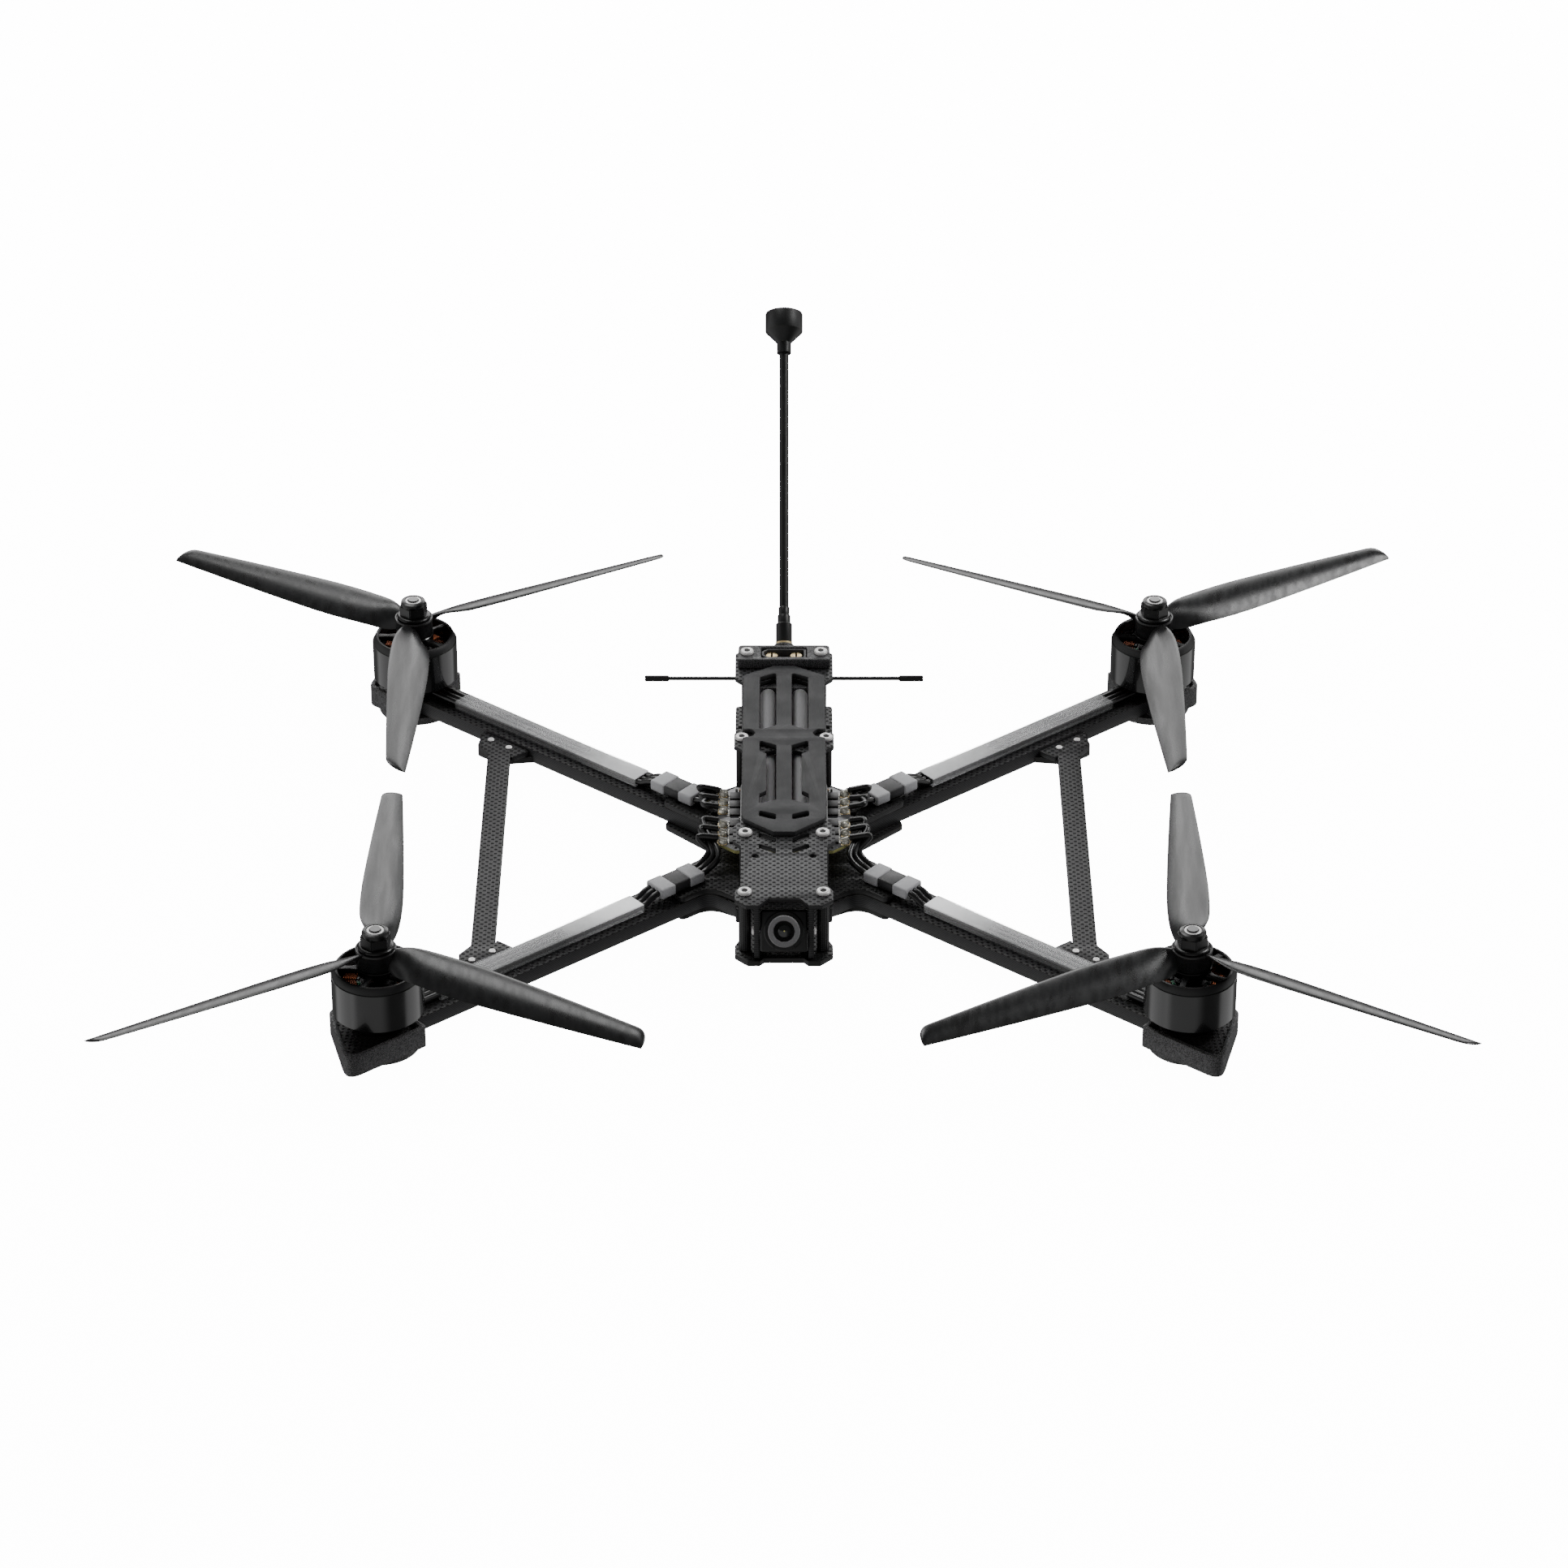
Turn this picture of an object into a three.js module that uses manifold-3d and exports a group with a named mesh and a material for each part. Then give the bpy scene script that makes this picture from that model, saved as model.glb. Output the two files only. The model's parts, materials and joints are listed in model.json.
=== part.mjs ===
// A long-range FPV quadcopter on a carbon fibre X frame, in millimetres, +Z up.
// The front of the aircraft faces -Y. The origin lies on the ground, under the point where the
// two diagonals between the motor axes cross.
import * as THREE from "three";
import { mergeVertices } from "three/addons/utils/BufferGeometryUtils.js";
import Module from "manifold-3d";

const wasm = await Module();
wasm.setup();

// ---------------------------------------------------------------- driving dimensions
const seat = 0.15; // clearance between parts that are stacked or clamped
const slip = 0.3; // clearance round parts that fit into each other

// frame
const propRadius = 127;
const propTipGap = 18.2; // between the circles of a front and a rear propeller
const halfTrack = 164.5; // motor axis from the middle plane, sideways
const halfBase = propRadius + propTipGap / 2; // motor axis from the middle, fore and aft
const armWidth = 18.5;
const armThickness = 6.5;
const filletRadius = 14; // between an arm and the body
const filletAt = 48; // along the arm, where its edge turns to the body
const rootReach = 52; // end of the arm root, fore and aft
const plateThickness = 2.5;
const topPlateThickness = 2;
const standoffLength = 25;
const standoffRadius = 2.55;

// motor guards and feet
const footRadius = 17;
const footHeight = 3.7;
const guardFloor = 1;
const guardRim = 2; // height of the rim above the arm
const guardWall = 2;
const guardEndSide = 18.4; // from the arm's centre line to the end face
const guardBraceSide = 16.5; // from the arm's centre line to the face over the side brace
const guardReachLong = 30; // beyond the motor axis, on the end side
const guardReachShort = 13.5; // beyond the motor axis, on the brace side
const guardRoot = 10.5; // from the motor axis back towards the body
const guardCorner = 5;
const guardRootCorner = 1.5;

// motors
const bellRadius = 18.75;
const bellWall = 1.6;
const bellHeight = 17.4; // straight outer wall
const bellRim = 3; // chamfered rim above the wall
const bellGap = 6; // free height between arm and bell
const hubRadius = 8.4;
const shaftRadius = 2.5;
const spokeCount = 5;
const toothCount = 6; // pairs of stator teeth
const statorRadius = 15.6;
const baseRadius = 12.2;

// propellers
const propBlades = 3;
const propHubRadius = 8.5;
const propHubHeight = 8;
const bladePitch = 20.8; // degrees
const bladeMax = 18.9; // widest chord
const bladeThickness = 0.11; // share of the chord
const nutFlangeRadius = 7.4;
const nutFlangeHeight = 1.5;
const nutHexRadius = 6.45; // across corners / 2
const nutHexHeight = 5;
const nutCapRadius = 4.4;
const nutCapHeight = 2.2;

// side braces
const braceX = 125; // centre line
const braceWidth = 10;
const braceThickness = 2.5;
const lugThickness = 2.9;
const braceScrewOffset = 13.3; // from the arm's centre line
const braceScrewSpacing = 10.5;
const braceScrewRadius = 1.5;
const braceScrewHeight = 0.5;

// body outline: half widths and stations along Y
const bodyHalfWidth = 18;
const noseHalfWidth = 20.3;
const shoulderHalfWidth = 21.4;
const noseY = -96.2;
const tailY = 112.8;
const tailStep = 86.5; // where the plates widen towards the tail
const notchDepth = 5.6;
const slotInner = 3.4; // the deck's slots, from the middle plane
const slotOuter = 10.5;
const screwX = 16.2;
const earScrewX = 18.1;
const screwStations = [-86.5, -39.9, 38.4, 104.5];
const screwHeadRadius = 3.2;
const screwHeadHeight = 1.4;

// electronics
const escWidth = 56.4;
const escLength = 51.6;
const boardThickness = 1.6;
const stackGap = 4.8; // between the two boards
const stackRoom = 15; // from the lower board's top to the top plate
const stackSpacerRadius = 2.6;
const stackGrommetRadius = 2.4;
const stackNutHeight = 1.9;
const padCount = 3; // solder pads of one motor
const padSpacing = 6.9;
const padFirst = 5.6;
const padInset = 2.1;
const padHeight = 1.5;
const flightBoardSize = 37;
const stackPitch = 30.5; // hole spacing of the board stack
const transmitterWidth = 40;
const transmitterLength = 26;
const transmitterDrop = 1.85; // below the power leads
const leadRadius = 3.4;
const leadX = 6.9;
const leadDrop = 0.5; // below the top plate

// battery pad, rear block and power socket
const padThickness = 2.2;
const padHalfWidth = 17.8;
const rearBlockHeight = 4.6;
const rearBlockHalfWidth = 20.4;
const rearBlockFront = 98.4;
const rearBlockDepth = 13.2;
const housingDepth = 13; // of the housing under the top plate, ahead of the block
const housingHalf = 13;
const socketWidth = 19.4;
const socketDepth = 8.2;
const socketPitch = 10.7;

// motor wires, connectors and sleeves
const wireRadius = 1.35;
const wirePitch = 2.85;
const connectorStart = 47.5; // along the arm
const connectorLength = 23.3;
const connectorWidth = 11;
const connectorHeight = 4.8;
const sleeveStart = 80;
const sleeveEnd = 185.5;
const sleeveWidth = 10;
const sleeveHeight = 4;
const sleeveWall = 0.5;

// camera
const cameraTilt = 31; // degrees above level, as it stands
const cameraAxisY = -90;
const cameraSink = 0.16; // share of the free height that lies below the camera
const cameraPlateInner = 10.1;
const cameraPlateThickness = 2.2;
const cameraHalfHeight = 8.6;
const cameraHalfDepth = 5.8;
const barrelRadius = 6.6;
const barrelLength = 7.4;
const lensRadius = 4.1;

// antennas
const mastLean = 47; // degrees back from vertical
const mastLength = 156;
const mastRadius = 2.05;
const mastHeadRadius = 8.4;
const mastHeadHeight = 9; // its straight wall
const mastConeHeight = 5.4; // from the neck up to the wall
const mastNeckRadius = 3.2;
const mastNeckHeight = 5;
const mastBevel = 0.8; // round the top of the head
const mastSteps = [
  [3.6, 9.5],
  [2.85, 13.4],
  [2.45, 17.2],
]; // radius and top of each step of the base
const mastSocketRadius = 4.6;
const mastSocketBack = 4.6; // from the mast's base forward to the middle of its socket
const mastBaseY = 116.6;
const mastBaseRise = 1.7; // above the top plate
const dipoleSpan = 123;
const dipoleY = 110.4;
const dipoleDrop = 9.7; // below the top plate
const dipoleRadius = 0.7;
const dipoleTip = 10.6;

// ---------------------------------------------------------------- levels worked out from them
const armBottom = footHeight + guardFloor + seat;
const armTop = armBottom + armThickness;
const bottomPlateTop = armBottom - seat;
const bottomPlateZ = bottomPlateTop - plateThickness;
const midPlateZ = armTop + seat;
const midPlateTop = midPlateZ + plateThickness;
const topPlateZ = midPlateTop + standoffLength + 2 * seat;
const topPlateTop = topPlateZ + topPlateThickness;
const escTop = topPlateZ - stackRoom;
const mastBaseZ = topPlateTop + mastBaseRise;
const dipoleZ = topPlateZ - dipoleDrop;
const bellBottom = armTop + bellGap;
const bellTop = bellBottom + bellHeight + bellRim;
const propZ = bellTop + 0.7 + seat;
const nutZ = propZ + propHubHeight + seat;
const shaftTop = nutZ + nutFlangeHeight + nutHexHeight + nutCapHeight;
const armAngle = Math.atan2(halfBase, halfTrack);
const armReach = Math.hypot(halfBase, halfTrack);
const halfArm = armWidth / 2;
const degrees = Math.PI / 180;
const cameraReach =
  cameraHalfHeight * Math.cos(cameraTilt * degrees) + cameraHalfDepth * Math.sin(cameraTilt * degrees);
const cameraSlack = topPlateZ - midPlateTop - 2 * cameraReach;
const cameraAxisZ = midPlateTop + cameraReach + cameraSink * cameraSlack;

const corners = [
  { name: "front_left", sx: -1, sy: -1, spin: 1, blade: 90 },
  { name: "front_right", sx: 1, sy: -1, spin: -1, blade: 89 },
  { name: "rear_left", sx: -1, sy: 1, spin: -1, blade: -90 },
  { name: "rear_right", sx: 1, sy: 1, spin: 1, blade: -89 },
];
const sides = [
  { name: "left", sx: -1 },
  { name: "right", sx: 1 },
];

// ---------------------------------------------------------------- materials
const finish = (color, roughness, metalness = 0) =>
  new THREE.MeshStandardMaterial({ color, roughness, metalness });
const carbon = () => finish(0x2b2c2e, 0.45);
const printed = () => finish(0x1d1e20, 0.8);
const anodised = () => finish(0x121314, 0.3, 0.8);
const polymer = () => finish(0x303133, 0.35);
const silicone = () => finish(0x3a3b3d, 0.75);
const wireJacket = () => finish(0x18181a, 0.4);
const board = () => finish(0x1a1c1b, 0.5);
const clear = () => finish(0xa9abad, 0.35);

// ---------------------------------------------------------------- geometry helpers
function solidOf(geometry) {
  const bare = geometry.index ? geometry.toNonIndexed() : geometry.clone();
  bare.deleteAttribute("normal");
  bare.deleteAttribute("uv");
  const merged = mergeVertices(bare, 1e-4);
  const vertProperties = new Float32Array(merged.attributes.position.array);
  const triVerts = new Uint32Array(merged.index.array);
  return new wasm.Manifold(new wasm.Mesh({ numProp: 3, vertProperties, triVerts }));
}

function join(...geometries) {
  return geometries.map(solidOf).reduce((whole, piece) => whole.add(piece));
}

function geometryOf(solid) {
  const mesh = solid.getMesh();
  const geometry = new THREE.BufferGeometry();
  const positions = new Float32Array(mesh.numVert * 3);
  for (let i = 0; i < mesh.numVert; i++)
    positions.set(mesh.vertProperties.subarray(i * mesh.numProp, i * mesh.numProp + 3), i * 3);
  geometry.setAttribute("position", new THREE.BufferAttribute(positions, 3));
  geometry.setIndex(new THREE.BufferAttribute(new Uint32Array(mesh.triVerts), 1));
  geometry.computeVertexNormals();
  return geometry;
}

const drone = new THREE.Group();

function addNode(name, solid, material, parent = drone) {
  const mesh = new THREE.Mesh(geometryOf(solid), material);
  mesh.name = name;
  parent.add(mesh);
  return mesh;
}

function box(x0, x1, y0, y1, z0, z1) {
  const geometry = new THREE.BoxGeometry(x1 - x0, y1 - y0, z1 - z0);
  return geometry.translate((x0 + x1) / 2, (y0 + y1) / 2, (z0 + z1) / 2);
}

// An upright cylinder, or a cone where top differs from radius.
function post(x, y, z0, z1, radius, segments = 16, top = radius) {
  const geometry = new THREE.CylinderGeometry(top, radius, z1 - z0, segments);
  return geometry.rotateX(Math.PI / 2).translate(x, y, (z0 + z1) / 2);
}

// A cylinder along X.
function crossPin(x0, x1, y, z, radius, segments = 12) {
  const geometry = new THREE.CylinderGeometry(radius, radius, x1 - x0, segments);
  return geometry.rotateZ(Math.PI / 2).translate((x0 + x1) / 2, y, z);
}

// A body of revolution about Z, from [radius, z] points that run upwards on the outside.
function turned(profile, segments) {
  const points = profile.map(([radius, z]) => new THREE.Vector2(radius, z));
  return new THREE.LatheGeometry(points, segments).rotateX(Math.PI / 2);
}

// A closed outline whose corners are rounded, each by its own radius or by the common one.
// Corners under 2 mm are cut straight.
function outline(points, radius = 0) {
  const shape = new THREE.Shape();
  const n = points.length;
  points.forEach(([x, y, own = radius], i) => {
    const here = new THREE.Vector2(x, y);
    const before = new THREE.Vector2(...points[(i + n - 1) % n].slice(0, 2)).sub(here);
    const after = new THREE.Vector2(...points[(i + 1) % n].slice(0, 2)).sub(here);
    const cosine = before.dot(after) / (before.length() * after.length());
    const turn = Math.acos(THREE.MathUtils.clamp(cosine, -1, 1));
    const trim = Math.min(own / Math.tan(turn / 2), 0.45 * before.length(), 0.45 * after.length());
    const start = before.setLength(trim).add(here);
    const end = after.setLength(trim).add(here);
    if (i === 0) shape.moveTo(start.x, start.y);
    else shape.lineTo(start.x, start.y);
    if (trim > 0.05 && own < 2) shape.lineTo(end.x, end.y);
    else if (trim > 0.05) shape.quadraticCurveTo(here.x, here.y, end.x, end.y);
  });
  shape.closePath();
  return shape;
}

function slab(shape, z0, thickness, curveSegments = 2) {
  const options = { depth: thickness, bevelEnabled: false, curveSegments };
  const geometry = new THREE.ExtrudeGeometry(shape, options);
  return geometry.translate(0, 0, z0);
}

// The mirror image of half an outline is added to it, so it closes across the middle plane.
const mirrored = (half) => [...half, ...half.map(([x, ...rest]) => [-x, ...rest]).reverse()];

// A polygon grown outwards by a distance, for the clearance round a part.
function grown(points, distance) {
  const area = points.reduce((sum, [x, y], i) => {
    const [nx, ny] = points[(i + 1) % points.length];
    return sum + x * ny - nx * y;
  }, 0);
  const side = Math.sign(area) * distance;
  return points.map(([x, y], i) => {
    const [px, py] = points[(i + points.length - 1) % points.length];
    const [nx, ny] = points[(i + 1) % points.length];
    const a = new THREE.Vector2(x - px, y - py).normalize();
    const b = new THREE.Vector2(nx - x, ny - y).normalize();
    const normal = new THREE.Vector2(a.y + b.y, -a.x - b.x);
    const scale = (2 * side) / normal.lengthSq();
    return [x + normal.x * scale, y + normal.y * scale];
  });
}

// A round bar along a smooth curve through the points.
function cable(points, radius, steps, sides = 6) {
  const ring = new THREE.Shape();
  for (let i = 0; i < sides; i++) {
    const angle = (2 * Math.PI * i) / sides;
    if (i === 0) ring.moveTo(radius, 0);
    else ring.lineTo(radius * Math.cos(angle), radius * Math.sin(angle));
  }
  ring.closePath();
  const path = new THREE.CatmullRomCurve3(points.map((p) => new THREE.Vector3(...p)), false, "centripetal");
  return new THREE.ExtrudeGeometry(ring, { steps, extrudePath: path, bevelEnabled: false });
}

// A point given along (s) and across (t) an arm, as sideways and fore-and-aft distances.
// Positive t lies on the end side, negative t on the brace side.
const across = (s, t) => [
  s * Math.cos(armAngle) - t * Math.sin(armAngle),
  s * Math.sin(armAngle) + t * Math.cos(armAngle),
];
const atCorner = ({ sx, sy }, points) => points.map(([u, v, ...rest]) => [sx * u, sy * v, ...rest]);
const onArm = (corner, points) =>
  atCorner(corner, points.map(([s, t, ...rest]) => [...across(s, t), ...rest]));

// ---------------------------------------------------------------- arms
// Along the arm, the middle of the two brace screws: it lies on the brace's centre line.
const braceScrewMid = (braceX - braceScrewOffset * Math.sin(armAngle)) / Math.cos(armAngle);
const lugInner = braceScrewMid - 16;
const lugOuter = braceScrewMid + 15;
const lugEdge = 20.2;
const rootStart = (halfArm + slip) / Math.sin(armAngle);

// Outline of a guard, along and across its arm, with the radius of each corner.
const guardOutline = [
  [armReach - guardRoot, guardEndSide],
  [armReach + guardReachLong, guardEndSide],
  [armReach + guardReachShort, -guardBraceSide],
  [armReach - guardRoot, -guardBraceSide],
];
const guardCorners = [guardRootCorner, guardCorner, guardCorner, guardRootCorner];
const headOutline = grown(guardOutline, -(guardWall + slip));
const withCorners = (points, radii) => points.map(([x, y], i) => [x, y, radii[i]]);
const shankEnd = armReach - guardRoot + guardWall + slip;

const armOutline = [
  [slip, slip],
  [rootStart, slip],
  across(shankEnd, -halfArm),
  ...[...headOutline].reverse().map(([s, t]) => across(s, t)),
  across(shankEnd, halfArm),
  across(filletAt, halfArm),
  [noseHalfWidth, rootReach - 4],
  [noseHalfWidth, rootReach],
  [slip, rootReach],
];
const armCorners = [0, 0, 0, ...[...guardCorners].reverse(), 0, filletRadius, 2, 1, 0];
const lugOutline = [
  [lugInner, -halfArm + 2],
  [lugInner, -halfArm],
  [braceScrewMid - 6, -lugEdge],
  [braceScrewMid + 7, -lugEdge],
  [lugOuter, -halfArm],
  [lugOuter, -halfArm + 2],
];

for (const corner of corners) {
  const rounded = withCorners(atCorner(corner, armOutline), armCorners);
  const shank = slab(outline(rounded), armBottom, armThickness, 4);
  const lug = slab(outline(onArm(corner, lugOutline), 2), armBottom, lugThickness);
  addNode("arm_" + corner.name, join(shank, lug), carbon());
}

// ---------------------------------------------------------------- side braces
const braceZ = armBottom + lugThickness + seat;
const braceTop = braceZ + braceThickness;
const braceCentre = across(braceScrewMid, -braceScrewOffset); // centre of the rear end
for (const { name, sx } of sides) {
  const innerEdge = braceX - braceWidth / 2;
  const outerEdge = braceX + braceWidth / 2;
  const rearEnd = [
    [innerEdge, braceCentre[1] - 9],
    across(braceScrewMid - 12, -lugEdge + 1),
    across(braceScrewMid - 14, -halfArm - slip),
    across(braceScrewMid + 13, -halfArm - slip),
    across(braceScrewMid + 7, -lugEdge),
    [outerEdge, braceCentre[1] - 8],
  ];
  const frontEnd = rearEnd.map(([x, y]) => [x, -y]).reverse();
  const loop = [...rearEnd, ...frontEnd].map(([x, y]) => [sx * x, y]);
  const pieces = [slab(outline(loop, 1.5), braceZ, braceThickness)];
  for (const sy of [-1, 1])
    for (const half of [-0.5, 0.5]) {
      const [x, y] = across(braceScrewMid + half * braceScrewSpacing, -braceScrewOffset);
      pieces.push(post(sx * x, sy * y, braceTop - 0.2, braceTop + braceScrewHeight, braceScrewRadius, 10));
    }
  addNode("side_brace_" + name, join(...pieces), carbon());
}

// ---------------------------------------------------------------- screws of the top deck
const blockTop = topPlateTop + seat + rearBlockHeight;
const screwPlaces = screwStations.flatMap((y, i) =>
  sides.map(({ name, sx }) => ({
    name: ["nose", "shoulder", "ear", "tail"][i] + "_" + name,
    x: sx * (i === 2 ? earScrewX : screwX),
    y,
    deck: i === 3 ? blockTop : topPlateTop,
  })),
);
const screwRadius = 1.4;
const screwHoles = join(
  ...screwPlaces.map(({ x, y }) => post(x, y, topPlateZ - 1, blockTop + 1, screwRadius + slip, 6)),
);

// ---------------------------------------------------------------- plates
// Bottom plate: a cross under the arm roots, the same on all four sides of the middle.
const bottomEnd = 59; // along the arm
const bottomWaist = 24;
const bottomNose = 50;
const bottomQuarter = [
  [...across(bottomEnd - 2, -12), 3],
  [...across(bottomEnd + 4.5, halfArm - 0.7), 3],
  [...across(filletAt, halfArm - 0.7), filletRadius],
  [bodyHalfWidth, bottomNose - 5, 2],
  [bodyHalfWidth, bottomNose, 2],
];
const turnedOver = (points, sx, sy) => points.map(([x, y, r]) => [sx * x, sy * y, r]);
const bottomLoop = [
  [bottomWaist, 0],
  ...bottomQuarter,
  ...turnedOver(bottomQuarter, -1, 1).reverse(),
  [-bottomWaist, 0],
  ...turnedOver(bottomQuarter, -1, -1),
  ...turnedOver(bottomQuarter, 1, -1).reverse(),
];
addNode("bottom_plate", solidOf(slab(outline(bottomLoop, 4), bottomPlateZ, plateThickness, 4)), carbon());

// Mid plate: the same cross on top of the arms, with the nose shelf and the tail deck.
const earTip = 62; // along the arm
const midEar = [
  [...across(earTip - 2, -halfArm), 2.5],
  [...across(earTip + 2, halfArm), 2.5],
  [...across(filletAt, halfArm), filletRadius],
];
const midHalf = [
  [8.2, noseY + 2.4, 1],
  [10, noseY, 1],
  [15, noseY, 1],
  [noseHalfWidth, noseY + 5.5, 1],
  [noseHalfWidth, 4 - rootReach, 2],
  ...turnedOver(midEar, 1, -1).reverse(),
  [rootStart + 3, 0, 3],
  ...midEar,
  [bodyHalfWidth, rootReach - 6, 2],
  [bodyHalfWidth, tailStep, 1],
  [shoulderHalfWidth, tailStep + 4, 1],
  [shoulderHalfWidth, tailY, 2],
];
const midPlate = solidOf(slab(outline(mirrored(midHalf)), midPlateZ, plateThickness, 4));
addNode("mid_plate", midPlate, carbon());

// Top plate, with its nose notch, shoulders at the boards, ears and tail.
const topHalf = [
  [6.4, noseY + notchDepth, 2],
  [10.3, noseY, 1],
  [15.6, noseY, 1],
  [noseHalfWidth, noseY + 4.2, 1],
  [noseHalfWidth, screwStations[0] + 1.5, 1],
  [bodyHalfWidth, screwStations[0] + 5.5, 2],
  [bodyHalfWidth, screwStations[1] - 10, 2],
  [shoulderHalfWidth, screwStations[1] - 5.6, 1.5],
  [shoulderHalfWidth, screwStations[1] + 5, 1.5],
  [bodyHalfWidth, screwStations[1] + 11, 2],
  [bodyHalfWidth, screwStations[2] - 9.5, 1],
  [shoulderHalfWidth, screwStations[2] - 6.5, 1],
  [shoulderHalfWidth, screwStations[2] + 4, 1],
  [bodyHalfWidth, screwStations[2] + 7.5, 1],
  [bodyHalfWidth, tailStep, 1],
  [shoulderHalfWidth, tailStep + 4, 1],
  [shoulderHalfWidth, tailY, 2],
];
// A slot with slanted ends beside the middle plane: it starts at inner[1] at the middle and at
// outer[1] at the side.
function slantedSlot(sx, inner, outer, length, z0, z1) {
  const loop = [inner, outer, [outer[0], outer[1] + length], [inner[0], inner[1] + length]];
  return slab(outline(loop.map(([x, y]) => [sx * x, y])), z0, z1 - z0);
}
const noseHoleX = 12; // two small round holes ahead of the camera slots
const noseHoleY = -57.5;
const noseHoleRadius = 1.5;
const topSlots = [
  [-55.6, -51.2, 3.4],
  [-47.2, -42.8, 4],
  [-16, -19, 45],
  [46.6, 42.6, 44],
];
const plateCut = [topPlateZ - 1, topPlateTop + 1];
const topCuts = sides.flatMap(({ sx }) => [
  ...topSlots.map(([y0, y1, length]) =>
    slantedSlot(sx, [slotInner, y0], [slotOuter, y1], length, ...plateCut),
  ),
  post(sx * noseHoleX, noseHoleY, ...plateCut, noseHoleRadius, 8),
]);
const socketY = rearBlockFront + rearBlockDepth / 2;
const mastSocket = (radius) =>
  post(0, 0, -6, 6, radius, 12)
    .rotateX(-mastLean * degrees)
    .translate(0, mastBaseY - mastSocketBack, mastBaseZ - 4);
const neckHalfWidth = 13.5;
const neckHalfDepth = 4.6;
const plateWindow = box(
  -neckHalfWidth - slip,
  neckHalfWidth + slip,
  socketY - neckHalfDepth - slip,
  socketY + neckHalfDepth + slip,
  ...plateCut,
);
const topPlate = solidOf(slab(outline(mirrored(topHalf)), topPlateZ, topPlateThickness))
  .subtract(join(...topCuts, plateWindow, mastSocket(mastSocketRadius + slip)))
  .subtract(screwHoles);
addNode("top_plate", topPlate, carbon());

// ---------------------------------------------------------------- standoffs with their top screws
for (const { name, x, y, deck } of screwPlaces) {
  const barrel = post(x, y, midPlateTop + seat, topPlateZ - seat, standoffRadius, 8);
  const headZ = deck + seat;
  const shank = post(x, y, topPlateZ - seat - 1, headZ + 0.5, screwRadius, 6);
  const head = post(x, y, headZ, headZ + screwHeadHeight, screwHeadRadius, 10, screwHeadRadius - 0.7);
  const socket = post(x, y, headZ + 0.5, headZ + screwHeadHeight + 1, 1.15, 6);
  addNode("standoff_" + name, join(barrel, shank, head).subtract(solidOf(socket)), anodised());
}

// ---------------------------------------------------------------- motor guards with their feet
const guardBottom = footHeight;
const guardTop = armTop + guardRim;
const pocketZ = guardBottom + guardFloor;
for (const corner of corners) {
  const shellLoop = withCorners(onArm(corner, guardOutline), guardCorners);
  const shell = slab(outline(shellLoop), guardBottom, guardTop - guardBottom, 4);
  const [x, y] = atCorner(corner, [[halfTrack, halfBase]])[0];
  const foot = post(x, y, 0, guardBottom + 0.5, footRadius, 20);
  const pocketLoop = withCorners(onArm(corner, grown(headOutline, slip)), guardCorners);
  const pocket = slab(outline(pocketLoop), pocketZ, guardTop, 4);
  const slotWidth = halfArm + slip;
  const slotLoop = [
    [armReach - 30, slotWidth],
    [armReach, slotWidth],
    [armReach, -slotWidth],
    [armReach - 30, -slotWidth],
  ];
  const slot = slab(outline(onArm(corner, slotLoop)), pocketZ, guardTop);
  addNode("motor_guard_" + corner.name, join(shell, foot).subtract(join(pocket, slot)), printed());
}

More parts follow.
